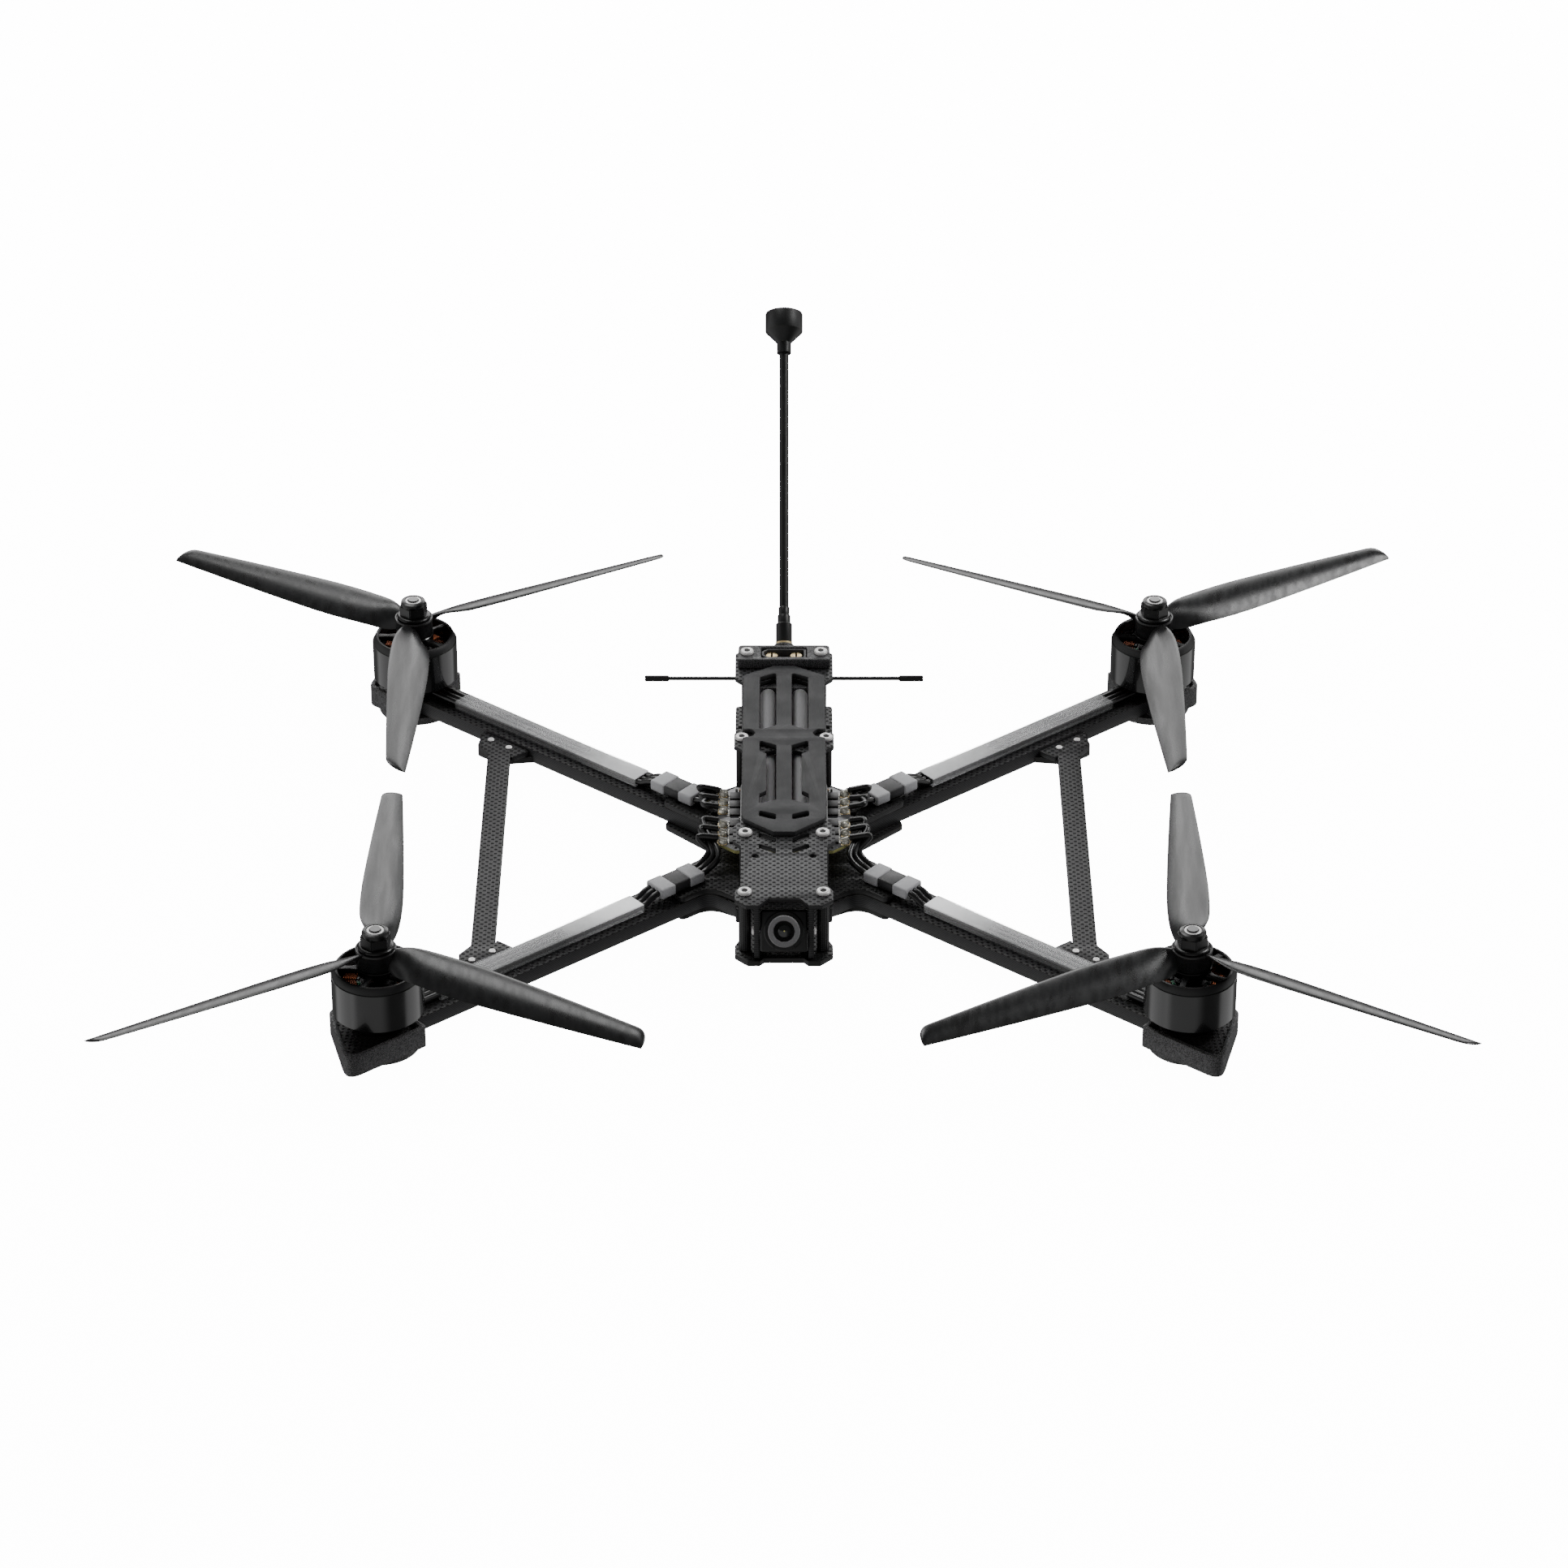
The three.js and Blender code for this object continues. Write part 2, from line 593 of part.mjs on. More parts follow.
// ---------------------------------------------------------------- motors
const boreRadius = shaftRadius + slip;
const coreBottom = bellBottom + 2;
const coreTop = bellTop - 5.5;
const baseTop = armTop + seat + 3.5;
for (const corner of corners) {
  const [x, y] = atCorner(corner, [[halfTrack, halfBase]])[0];

  // Base, bearing tube and stator core: it stands still.
  const tube = turned([
    [boreRadius, armTop + seat],
    [baseRadius, armTop + seat],
    [baseRadius, baseTop],
    [9, baseTop + 2.5],
    [9, coreTop],
    [4.6, coreTop],
    [4.6, bellTop - 3.6],
    [boreRadius, bellTop - 3.6],
    [boreRadius, armTop + seat],
  ], 12);
  const star = [];
  for (let i = 0; i < 2 * toothCount; i++) {
    const angle = (Math.PI * (i + 0.5)) / toothCount;
    const radius = i % 4 < 2 ? statorRadius : statorRadius - 5;
    star.push([radius * Math.cos(angle), radius * Math.sin(angle)]);
  }
  const core = slab(outline(star), coreBottom, coreTop - 0.5 - coreBottom);
  const bore = post(0, 0, coreBottom - 1, coreTop + 1, 4, 8);
  const statorSolid = solidOf(core).subtract(solidOf(bore)).add(solidOf(tube));
  const stator = addNode("motor_stator_" + corner.name, statorSolid, anodised());
  stator.position.set(x, y, 0);

  // Bell: outer wall, chamfered rim, spokes, hub and the shaft that turns in the tube.
  const innerRadius = bellRadius - bellWall;
  const wallTop = bellBottom + bellHeight;
  const wall = turned([
    [innerRadius, bellBottom],
    [bellRadius, bellBottom],
    [bellRadius, wallTop],
    [bellRadius - 1.5, bellTop],
    [innerRadius - 0.8, bellTop],
    [innerRadius, wallTop - 1.5],
    [innerRadius, bellBottom],
  ], 18);
  const hub = turned([
    [0, armTop + seat + 0.5],
    [shaftRadius, armTop + seat + 0.5],
    [shaftRadius, bellTop - 3.2],
    [hubRadius - 2, bellTop - 3.2],
    [hubRadius, bellTop - 2],
    [hubRadius, bellTop + 0.7],
    [shaftRadius, bellTop + 0.7],
    [shaftRadius, shaftTop],
    [1.5, shaftTop],
    [1.5, shaftTop - 3],
    [0, shaftTop - 3],
  ], 8);
  const spokes = [];
  for (let i = 0; i < spokeCount; i++) {
    const spoke = box(hubRadius - 2, innerRadius + 0.4, -1.1, 1.1, bellTop - 3, bellTop - 0.8);
    spokes.push(spoke.rotateZ((2 * Math.PI * (i + 0.5)) / spokeCount));
  }
  const bell = addNode("motor_bell_" + corner.name, join(wall, hub, ...spokes), anodised());
  bell.position.set(x, y, 0);
}

// ---------------------------------------------------------------- propellers and their nuts
// Chord and sweep along the blade, as [share of the radius, share of the widest chord, sweep].
const bladeStations = [
  [0.045, 0.74, 0],
  [0.22, 0.98, 0.1],
  [0.36, 1, 0.1],
  [0.55, 0.88, 0.5],
  [0.78, 0.66, 0.8],
  [0.94, 0.46, 0.6],
  [0.985, 0.33, 0.1],
  [1, 0.12, -1],
];
// The blade's section from its leading edge over the top and back underneath, in chords.
const bladeSection = [
  [0.5, 0],
  [0.36, 0.55],
  [0.05, 0.8],
  [-0.28, 0.45],
  [-0.5, 0.04],
  [-0.1, 0.05],
  [0.36, -0.3],
];
const bladeLevel = propZ + 5.3; // height of the blade's middle above the arm at the root
const bladeDroop = 0.8;

function blade(spin) {
  const rings = bladeStations.map(([share, width, sweep]) => {
    const chord = bladeMax * width;
    const thick = chord * bladeThickness + 0.5;
    const pitch = bladePitch * degrees;
    return bladeSection.map(([along, up]) => {
      const forward = sweep + chord * along * Math.cos(pitch) - thick * up * Math.sin(pitch);
      const height = chord * along * Math.sin(pitch) + thick * up * Math.cos(pitch);
      return [share * propRadius, spin * forward, bladeLevel - bladeDroop * share + height];
    });
  });
  const n = bladeSection.length;
  const positions = rings.flat(2);
  const index = [];
  const face = (a, b, c) => index.push(...(spin > 0 ? [a, c, b] : [a, b, c]));
  for (let r = 0; r < rings.length - 1; r++)
    for (let i = 0; i < n; i++) {
      const a = r * n + i;
      const b = r * n + ((i + 1) % n);
      face(a, b + n, b);
      face(a, a + n, b + n);
    }
  const last = (rings.length - 1) * n;
  for (let i = 1; i < n - 1; i++) {
    face(0, i, i + 1);
    face(last, last + i + 1, last + i);
  }
  const geometry = new THREE.BufferGeometry();
  geometry.setAttribute("position", new THREE.Float32BufferAttribute(positions, 3));
  geometry.setIndex(index);
  return geometry;
}

for (const corner of corners) {
  const [x, y] = atCorner(corner, [[halfTrack, halfBase]])[0];
  const hub = turned([
    [0, propZ],
    [propHubRadius - 0.6, propZ],
    [propHubRadius, propZ + 0.8],
    [propHubRadius, propZ + propHubHeight - 0.5],
    [propHubRadius - 0.5, propZ + propHubHeight],
    [0, propZ + propHubHeight],
  ], 12);
  const blades = [];
  for (let i = 0; i < propBlades; i++) {
    const angle = corner.blade * degrees + (2 * Math.PI * i) / propBlades;
    blades.push(blade(corner.spin).rotateZ(angle));
  }
  const bore = post(0, 0, propZ - 1, propZ + propHubHeight + 1, boreRadius + 0.2, 8);
  const propeller = join(hub, ...blades).subtract(solidOf(bore));
  addNode("propeller_" + corner.name, propeller, polymer()).position.set(x, y, 0);

  const flangeTop = nutZ + nutFlangeHeight;
  const hexTop = flangeTop + nutHexHeight;
  const nut = join(
    post(0, 0, nutZ, flangeTop, nutFlangeRadius, 12),
    post(0, 0, flangeTop - 0.3, hexTop, nutHexRadius, 6),
    post(0, 0, hexTop - 0.3, hexTop + nutCapHeight - 0.4, nutHexRadius - 0.8, 8, nutCapRadius),
  ).subtract(solidOf(post(0, 0, nutZ - 1, shaftTop + 2, boreRadius, 8)));
  addNode("prop_nut_" + corner.name, nut, anodised()).position.set(x, y, 0);
}

// ---------------------------------------------------------------- board stack
const escZ = escTop - boardThickness;
const chamfer = 7.5;
const escHalf = [
  [escWidth / 2 - chamfer, -escLength / 2, 0.5],
  [escWidth / 2, -escLength / 2 + chamfer * 0.85, 0.5],
  [escWidth / 2, escLength / 2 - chamfer * 0.85, 0.5],
  [escWidth / 2 - chamfer, escLength / 2, 0.5],
];
const padPlaces = corners.flatMap((corner) =>
  Array.from({ length: padCount }, (_, i) => [
    corner.sx * (escWidth / 2 - padInset),
    corner.sy * (padFirst + i * padSpacing),
  ]),
);
const escPieces = [slab(outline(mirrored(escHalf)), escZ, boardThickness)];
for (const [x, y] of padPlaces)
  escPieces.push(post(x, y, escTop - 0.2, escTop + padHeight, 1.9, 5, 1.1));
const boltPlaces = [-1, 1].flatMap((x) => [-1, 1].map((y) => [(x * stackPitch) / 2, (y * stackPitch) / 2]));
for (const bolt of boltPlaces) {
  escPieces.push(post(...bolt, midPlateTop + seat, escZ + 0.2, stackSpacerRadius, 6));
  escPieces.push(post(...bolt, escTop - 0.2, escTop + stackGap, stackGrommetRadius, 6));
}
addNode("esc_board", join(...escPieces), board());

const flightZ = escTop + stackGap + seat;
const half = flightBoardSize / 2;
const flightTop = flightZ + boardThickness;
const flightLoop = [[-half, -half], [half, -half], [half, half], [-half, half]];
const flightPieces = [
  slab(outline(flightLoop, 3), flightZ, boardThickness),
  box(-4.5, 4.5, -4.5, 4.5, flightTop - 0.2, flightTop + 1.2),
  box(-half + 6, -half + 13, -6, 6, flightZ - 1.8, flightZ + 0.2),
];
for (const bolt of boltPlaces)
  flightPieces.push(post(...bolt, flightTop - 0.2, flightTop + stackNutHeight, stackSpacerRadius, 6));
addNode("flight_controller", join(...flightPieces), board());

// Video transmitter: a finned block between the mid plate and the power leads.
const leadZ = topPlateZ - leadRadius - leadDrop;
const transmitterY = 44.5;
const transmitterZ = midPlateTop + seat;
const transmitterTop = leadZ - leadRadius - transmitterDrop;
const finDepth = 1.6;
const finCount = 7;
const halfTransmitter = transmitterWidth / 2;
const transmitterCore = box(
  finDepth - halfTransmitter,
  halfTransmitter - finDepth,
  transmitterY,
  transmitterY + transmitterLength,
  transmitterZ,
  transmitterTop,
);
const fins = [];
for (let i = 0; i < finCount; i++) {
  const y = transmitterY + (i * (transmitterLength - finDepth)) / (finCount - 1);
  const fin = [y, y + finDepth, transmitterZ + 1, transmitterTop - 0.5];
  fins.push(box(-halfTransmitter, halfTransmitter, ...fin));
}
addNode("video_transmitter", join(transmitterCore, ...fins), anodised());

// Power leads from the boards back to the socket, under the top plate.
const housingFront = rearBlockFront - housingDepth;
const leadEnd = housingFront - slip;
for (const { name, sx } of sides) {
  const route = [
    [sx * leadX, -30.5, leadZ - 0.35],
    [sx * leadX, -22, leadZ],
    [sx * leadX, 20, leadZ],
    [sx * leadX, leadEnd, leadZ],
  ];
  addNode("power_lead_" + name, solidOf(cable(route, leadRadius, 8, 8)), wireJacket());
}

// ---------------------------------------------------------------- battery pad
const padZ = topPlateTop + seat;
const padHalf = [
  [4.5, -42.2, 1.5],
  [padHalfWidth - 0.7, -31.5, 2],
  [padHalfWidth, -28, 1],
  [padHalfWidth, 89, 1.5],
  [4.4, 97.4, 2],
];
let pad = solidOf(slab(outline(mirrored(padHalf)), padZ, padThickness));
const padCut = [padZ - 1, padZ + padThickness + 1];
for (const { sx } of sides) {
  const iSlot = [
    [3.3, 28.9],
    [10.4, 32.8],
    [10.4, 24.2],
    [7.5, 22],
    [7.5, -9],
    [10.4, -11.5],
    [10.4, -19.2],
    [3.3, -16.1],
  ];
  const notch = post(sx * (earScrewX + 0.4), screwStations[2], ...padCut, screwHeadRadius + 1.5, 12);
  const cuts = [
    slantedSlot(sx, [slotInner, 46], [slotOuter, 42], 45.2, ...padCut),
    slab(outline(iSlot.map(([x, y]) => [sx * x, y])), padCut[0], padThickness + 2),
    slantedSlot(sx, [slotInner, -32.4], [slotOuter, -29.3], 4.4, ...padCut),
    notch,
  ];
  pad = pad.subtract(join(...cuts));
}
addNode("battery_pad", pad, silicone());

// ---------------------------------------------------------------- rear block and power socket
const socketFloor = topPlateZ - 13;
const blockZ = topPlateTop + seat;
const capLoop = [
  [-rearBlockHalfWidth, rearBlockFront, 1],
  [rearBlockHalfWidth, rearBlockFront, 1],
  [rearBlockHalfWidth - 0.4, rearBlockFront + rearBlockDepth, 1.5],
  [-rearBlockHalfWidth + 0.4, rearBlockFront + rearBlockDepth, 1.5],
];
const neck = box(
  -neckHalfWidth,
  neckHalfWidth,
  socketY - neckHalfDepth,
  socketY + neckHalfDepth,
  topPlateZ - 1,
  blockZ + 1,
);
const housing = box(
  -housingHalf,
  housingHalf,
  housingFront,
  rearBlockFront + rearBlockDepth,
  midPlateTop + seat,
  topPlateZ - seat,
);
const socketHole = box(
  -socketWidth / 2 - slip,
  socketWidth / 2 + slip,
  socketY - socketDepth / 2 - slip,
  socketY + socketDepth / 2 + slip,
  socketFloor,
  blockTop + 1,
);
const leadHoles = sides.map(({ sx }) =>
  post(0, 0, 0, housingDepth + 2, leadRadius + 1, 8)
    .rotateX(-Math.PI / 2)
    .translate(sx * leadX, housingFront - 1, leadZ),
);
const dipoleHole = crossPin(-housingHalf - 1, housingHalf + 1, dipoleY, dipoleZ, dipoleRadius + slip, 6);
const cap = slab(outline(capLoop), blockZ, rearBlockHeight);
const rearMount = join(cap, neck, housing, mastSocket(mastSocketRadius))
  .subtract(solidOf(socketHole))
  .subtract(join(...leadHoles, dipoleHole))
  .subtract(screwHoles);
const mastAxis = new THREE.Vector3(0, Math.sin(mastLean * degrees), Math.cos(mastLean * degrees));
addNode("rear_mount", rearMount, printed());

const socketCorner = 2.4;
const shellLoop = [
  [-socketWidth / 2 + socketCorner, -socketDepth / 2],
  [socketWidth / 2, -socketDepth / 2],
  [socketWidth / 2, socketDepth / 2],
  [-socketWidth / 2 + socketCorner, socketDepth / 2],
  [-socketWidth / 2, socketDepth / 2 - socketCorner],
  [-socketWidth / 2, -socketDepth / 2 + socketCorner],
];
const shellTop = blockTop - 0.6;
const shellZ = socketFloor + slip;
const move = (points, dy) => points.map(([x, y]) => [x, y + dy]);
const pinTop = shellTop - 1;
const pins = sides.map(({ sx }) => post(sx * (socketPitch / 2), socketY, shellZ + 2, pinTop, 2.2, 8));
const pinSlits = sides.map(({ sx }) => {
  const x = sx * (socketPitch / 2);
  return box(x - 0.4, x + 0.4, socketY - 3, socketY + 3, pinTop - 5, shellTop);
});
const hollow = slab(outline(move(grown(shellLoop, -1), socketY)), shellZ + 5, shellTop);
const socket = solidOf(slab(outline(move(shellLoop, socketY)), shellZ, shellTop - shellZ))
  .subtract(solidOf(hollow))
  .add(join(...pins))
  .subtract(join(...pinSlits));
addNode("battery_connector", socket, polymer());

// ---------------------------------------------------------------- antennas
// The mast is modelled upright from its own base, then leans back.
const headStart = mastLength - mastHeadHeight;
const neckTop = headStart - mastConeHeight;
const neckBottom = neckTop - mastNeckHeight;
const mast = turned([
  [0, 0],
  ...mastSteps.flatMap(([radius, top], i) => [[radius, i ? mastSteps[i - 1][1] : 0], [radius, top]]),
  [mastRadius, mastSteps.at(-1)[1]],
  [mastRadius, neckBottom],
  [mastNeckRadius, neckBottom],
  [mastNeckRadius, neckTop],
  [mastHeadRadius, headStart],
  [mastHeadRadius, mastLength - mastBevel],
  [mastHeadRadius - mastBevel, mastLength],
  [0, mastLength],
], 16);
const mastNode = addNode("video_antenna", solidOf(mast), polymer());
mastNode.rotation.x = -mastLean * degrees;
mastNode.position.set(0, mastBaseY + mastAxis.y * slip, mastBaseZ + mastAxis.z * slip);

// The dipole passes through the rear block from side to side.
const dipoleHalf = dipoleSpan / 2;
const dipoleRod = crossPin(-dipoleHalf + 1, dipoleHalf - 1, dipoleY, dipoleZ, dipoleRadius, 6);
const dipoleTips = sides.map(({ sx }) => {
  const tip = crossPin(dipoleHalf - dipoleTip, dipoleHalf, dipoleY, dipoleZ, 1.2, 8);
  return sx > 0 ? tip : tip.rotateZ(Math.PI).translate(0, 2 * dipoleY, 0);
});
addNode("receiver_antenna", join(dipoleRod, ...dipoleTips), wireJacket());

// ---------------------------------------------------------------- camera
const cameraPlateOuter = cameraPlateInner + cameraPlateThickness;
const tongue = 1.5; // side plates stop this far behind the nose
for (const { name, sx } of sides) {
  const profile = [
    [noseY + tongue, midPlateTop + seat],
    [noseY + tongue, topPlateZ - seat],
    [cameraAxisY + 13, topPlateZ - seat],
    [cameraAxisY + 9, cameraAxisZ],
    [cameraAxisY + 13, midPlateTop + seat],
  ];
  const plate = slab(outline(profile, 1.5), 0, cameraPlateThickness);
  plate.rotateX(Math.PI / 2).rotateZ(Math.PI / 2);
  plate.translate(sx > 0 ? cameraPlateInner : -cameraPlateOuter, 0, 0);
  const hole = crossPin(-20, 20, cameraAxisY, cameraAxisZ, 1 + slip);
  addNode("camera_plate_" + name, solidOf(plate).subtract(solidOf(hole)), carbon());
}

// The camera is modelled level, looking along -Y from its tilt axis, then tilted up.
const cameraGroup = new THREE.Group();
cameraGroup.position.set(0, cameraAxisY, cameraAxisZ);
cameraGroup.rotation.x = -cameraTilt * degrees;
drone.add(cameraGroup);
const cameraHalfWidth = cameraPlateInner - slip;
const barrelFront = -cameraHalfDepth - barrelLength;
const alongView = (radius, y0, y1, segments) =>
  new THREE.CylinderGeometry(radius, radius, y1 - y0, segments).translate(0, (y0 + y1) / 2, 0);
const cameraFace = [
  [-cameraHalfWidth, -cameraHalfHeight],
  [cameraHalfWidth, -cameraHalfHeight],
  [cameraHalfWidth, cameraHalfHeight],
  [-cameraHalfWidth, cameraHalfHeight],
];
const cameraBody = join(
  slab(outline(cameraFace, 1.5), -cameraHalfDepth, 2 * cameraHalfDepth).rotateX(Math.PI / 2),
  alongView(barrelRadius, barrelFront, -cameraHalfDepth + 0.5, 20),
  crossPin(-cameraPlateOuter - 0.2, cameraPlateOuter + 0.2, 0, 0, 1),
  crossPin(-cameraPlateOuter - 1.2, -cameraPlateOuter - 0.2, 0, 0, 1.9),
  crossPin(cameraPlateOuter + 0.2, cameraPlateOuter + 1.2, 0, 0, 1.9),
).subtract(solidOf(alongView(lensRadius + slip, barrelFront - 1, barrelFront + 3, 16)));
addNode("fpv_camera", cameraBody, polymer(), cameraGroup);
const lens = turned([
  [0, 0],
  [lensRadius, 0],
  [lensRadius, 1.2],
  [lensRadius * 0.75, 1.9],
  [lensRadius * 0.4, 2.3],
  [0, 2.4],
], 16);
const lensNode = addNode("camera_lens", solidOf(lens), anodised(), cameraGroup);
lensNode.rotation.x = Math.PI / 2;
lensNode.position.y = barrelFront + 3 - slip;

// ---------------------------------------------------------------- motor leads and sleeves
const connectorZ = midPlateTop + seat;
const wireBed = armTop + seat + sleeveWall + slip + wireRadius;
const wireMid = connectorZ + connectorHeight / 2;
const connectorEnd = connectorStart + connectorLength;
const grip = 2; // how far a wire goes into the connector
const wireStep = 8; // from a pad's wire end to its first bend; each next wire bends 1 mm later
const padWireZ = escTop + padHeight + slip + wireRadius; // a wire's level on its pad
for (const corner of corners) {
  const lanes = [1, 0, -1].map((lane) => lane * wirePitch);
  const place = (s, t, z) => [...onArm(corner, [[s, t]])[0], z];
  const pieces = [];
  lanes.forEach((t, i) => {
    const padY = corner.sy * (padFirst + i * padSpacing);
    const padX = corner.sx * (escWidth / 2 - padInset + 1.2);
    const inner = [
      [padX - corner.sx * wireRadius, padY, padWireZ],
      [padX + corner.sx * wireRadius, padY, padWireZ + 0.4],
      [padX + corner.sx * (wireStep + i), padY + corner.sy * 0.3, padWireZ + 0.6],
      place(connectorStart - 9, t * 1.15, wireMid + 5.4),
      place(connectorStart - 3, t, wireMid + 1),
      place(connectorStart + grip, t, wireMid),
    ];
    const outer = [
      place(connectorEnd - grip, t, wireMid),
      place(connectorEnd + 2, t, wireMid - 0.4),
      place(sleeveStart - 2, t, wireBed),
      place(sleeveStart + 2, t, wireBed),
    ];
    const run = [
      place(sleeveStart + 1.5, t, wireBed),
      place(armReach - baseRadius - 1.5, t, wireBed),
    ];
    pieces.push(cable(inner, wireRadius, 6, 5));
    pieces.push(cable(outer, wireRadius, 3, 5));
    pieces.push(cable(run, wireRadius, 1, 5));
  });
  const halfWidth = connectorWidth / 2;
  const block = (s0, s1, inset) => {
    const low = connectorZ + inset;
    const high = connectorZ + connectorHeight - inset;
    const side = halfWidth - inset;
    const shape = outline([[-side, low], [side, low], [side, high], [-side, high]], 1.4);
    const angle = Math.atan2(corner.sy * halfBase, corner.sx * halfTrack);
    return slab(shape, s0, s1 - s0).rotateX(Math.PI / 2).rotateZ(Math.PI / 2 + angle);
  };
  const third = connectorLength / 3;
  pieces.push(block(connectorStart, connectorStart + third, 0));
  pieces.push(block(connectorStart + third - 0.5, connectorEnd - third + 0.5, 0.4));
  pieces.push(block(connectorEnd - third, connectorEnd, 0));
  addNode("motor_lead_" + corner.name, join(...pieces), wireJacket());

  const halfSleeve = sleeveWidth / 2;
  const sleeveLoop = (s0, s1, w) => outline(onArm(corner, [[s0, w], [s1, w], [s1, -w], [s0, -w]]));
  const sleeveZ = armTop + seat;
  const shell = solidOf(slab(sleeveLoop(sleeveStart, sleeveEnd, halfSleeve), sleeveZ, sleeveHeight));
  const hollow = slab(
    sleeveLoop(sleeveStart - 1, sleeveEnd + 1, halfSleeve - sleeveWall),
    sleeveZ + sleeveWall,
    sleeveHeight - 2 * sleeveWall,
  );
  addNode("wire_sleeve_" + corner.name, shell.subtract(solidOf(hollow)), clear());
}

export default drone;
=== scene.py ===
"""Looks of a long-range FPV quadcopter on a carbon fibre X frame.

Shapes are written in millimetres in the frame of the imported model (+X right, +Y to the tail, +Z up)
and turned into metres where a mesh is made.
"""

import json
import random
from math import atan2, cos, exp, hypot, pi, radians, sin, sqrt, tan

import bmesh
import bpy
from mathutils import Matrix, Vector


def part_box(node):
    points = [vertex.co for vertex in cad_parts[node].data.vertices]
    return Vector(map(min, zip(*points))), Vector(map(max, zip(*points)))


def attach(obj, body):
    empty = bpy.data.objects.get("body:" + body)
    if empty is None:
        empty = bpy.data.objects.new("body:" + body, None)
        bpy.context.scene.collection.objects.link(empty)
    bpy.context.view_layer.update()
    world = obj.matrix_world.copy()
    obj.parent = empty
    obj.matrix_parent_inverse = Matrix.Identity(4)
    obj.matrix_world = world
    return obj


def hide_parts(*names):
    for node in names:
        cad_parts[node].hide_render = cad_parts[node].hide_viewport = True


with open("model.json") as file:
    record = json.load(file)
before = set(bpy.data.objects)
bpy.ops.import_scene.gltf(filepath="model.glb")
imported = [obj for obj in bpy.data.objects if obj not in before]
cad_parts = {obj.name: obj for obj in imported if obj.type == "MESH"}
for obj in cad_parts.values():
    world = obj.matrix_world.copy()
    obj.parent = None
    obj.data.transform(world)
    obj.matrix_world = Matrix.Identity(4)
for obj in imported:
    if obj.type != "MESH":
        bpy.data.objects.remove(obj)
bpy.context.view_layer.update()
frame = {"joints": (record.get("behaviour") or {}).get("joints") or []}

MM = 0.001
CORNERS = {
    "front_left": (-1, -1),
    "front_right": (1, -1),
    "rear_left": (-1, 1),
    "rear_right": (1, 1),
}
SIDES = {"left": -1, "right": 1}


def span(node):
    """Lowest and highest corner of a CAD node, in millimetres."""
    low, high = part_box(node)
    return low / MM, high / MM


joints = {joint["name"]: joint for joint in frame["joints"]}
motor_axis = {c: Vector(joints["spin_" + c]["pos_m"]) / MM for c in CORNERS}
half_track = abs(motor_axis["rear_right"].x)
half_base = abs(motor_axis["rear_right"].y)
arm_reach = hypot(half_track, half_base)
arm_angle = atan2(half_base, half_track)

arm_low, arm_high = span("arm_rear_right")
mid_low, mid_high = span("mid_plate")
top_low, top_high = span("top_plate")
bottom_low, bottom_high = span("bottom_plate")
half_arm = 9.25
body_half = 18.0
nose_half = 20.3
shoulder_half = top_high.x
nose_y = top_low.y
tail_y = top_high.y
tail_step = 86.5


# ------------------------------------------------------------------------------- camera and light
backdrop_strength = 14.0  # so bright that the floor and the far wall come out white
sky_strength = 0.1
left_box, right_box, front_box = 0.75, 0.7, 0.38


def add_camera():
    distance, elevation = 2.3928, radians(31)
    target = Vector((0, 0, 0.0415))
    data = bpy.data.cameras.new("camera")
    data.lens = 129.53
    data.sensor_width = 36
    data.clip_end = 20
    camera = bpy.data.objects.new("camera", data)
    away = Vector((0, -cos(elevation), sin(elevation)))
    camera.location = target + away * distance
    camera.rotation_euler = (-away).to_track_quat("-Z", "Y").to_euler()
    bpy.context.scene.collection.objects.link(camera)
    bpy.context.scene.camera = camera


def add_area(name, location, target, size, energy):
    data = bpy.data.lights.new(name, "AREA")
    data.shape = "RECTANGLE"
    data.size, data.size_y = size
    data.energy = energy
    light = bpy.data.objects.new(name, data)
    light.location = location
    light.rotation_euler = (Vector(target) - Vector(location)).to_track_quat("-Z", "Y").to_euler()
    bpy.context.scene.collection.objects.link(light)


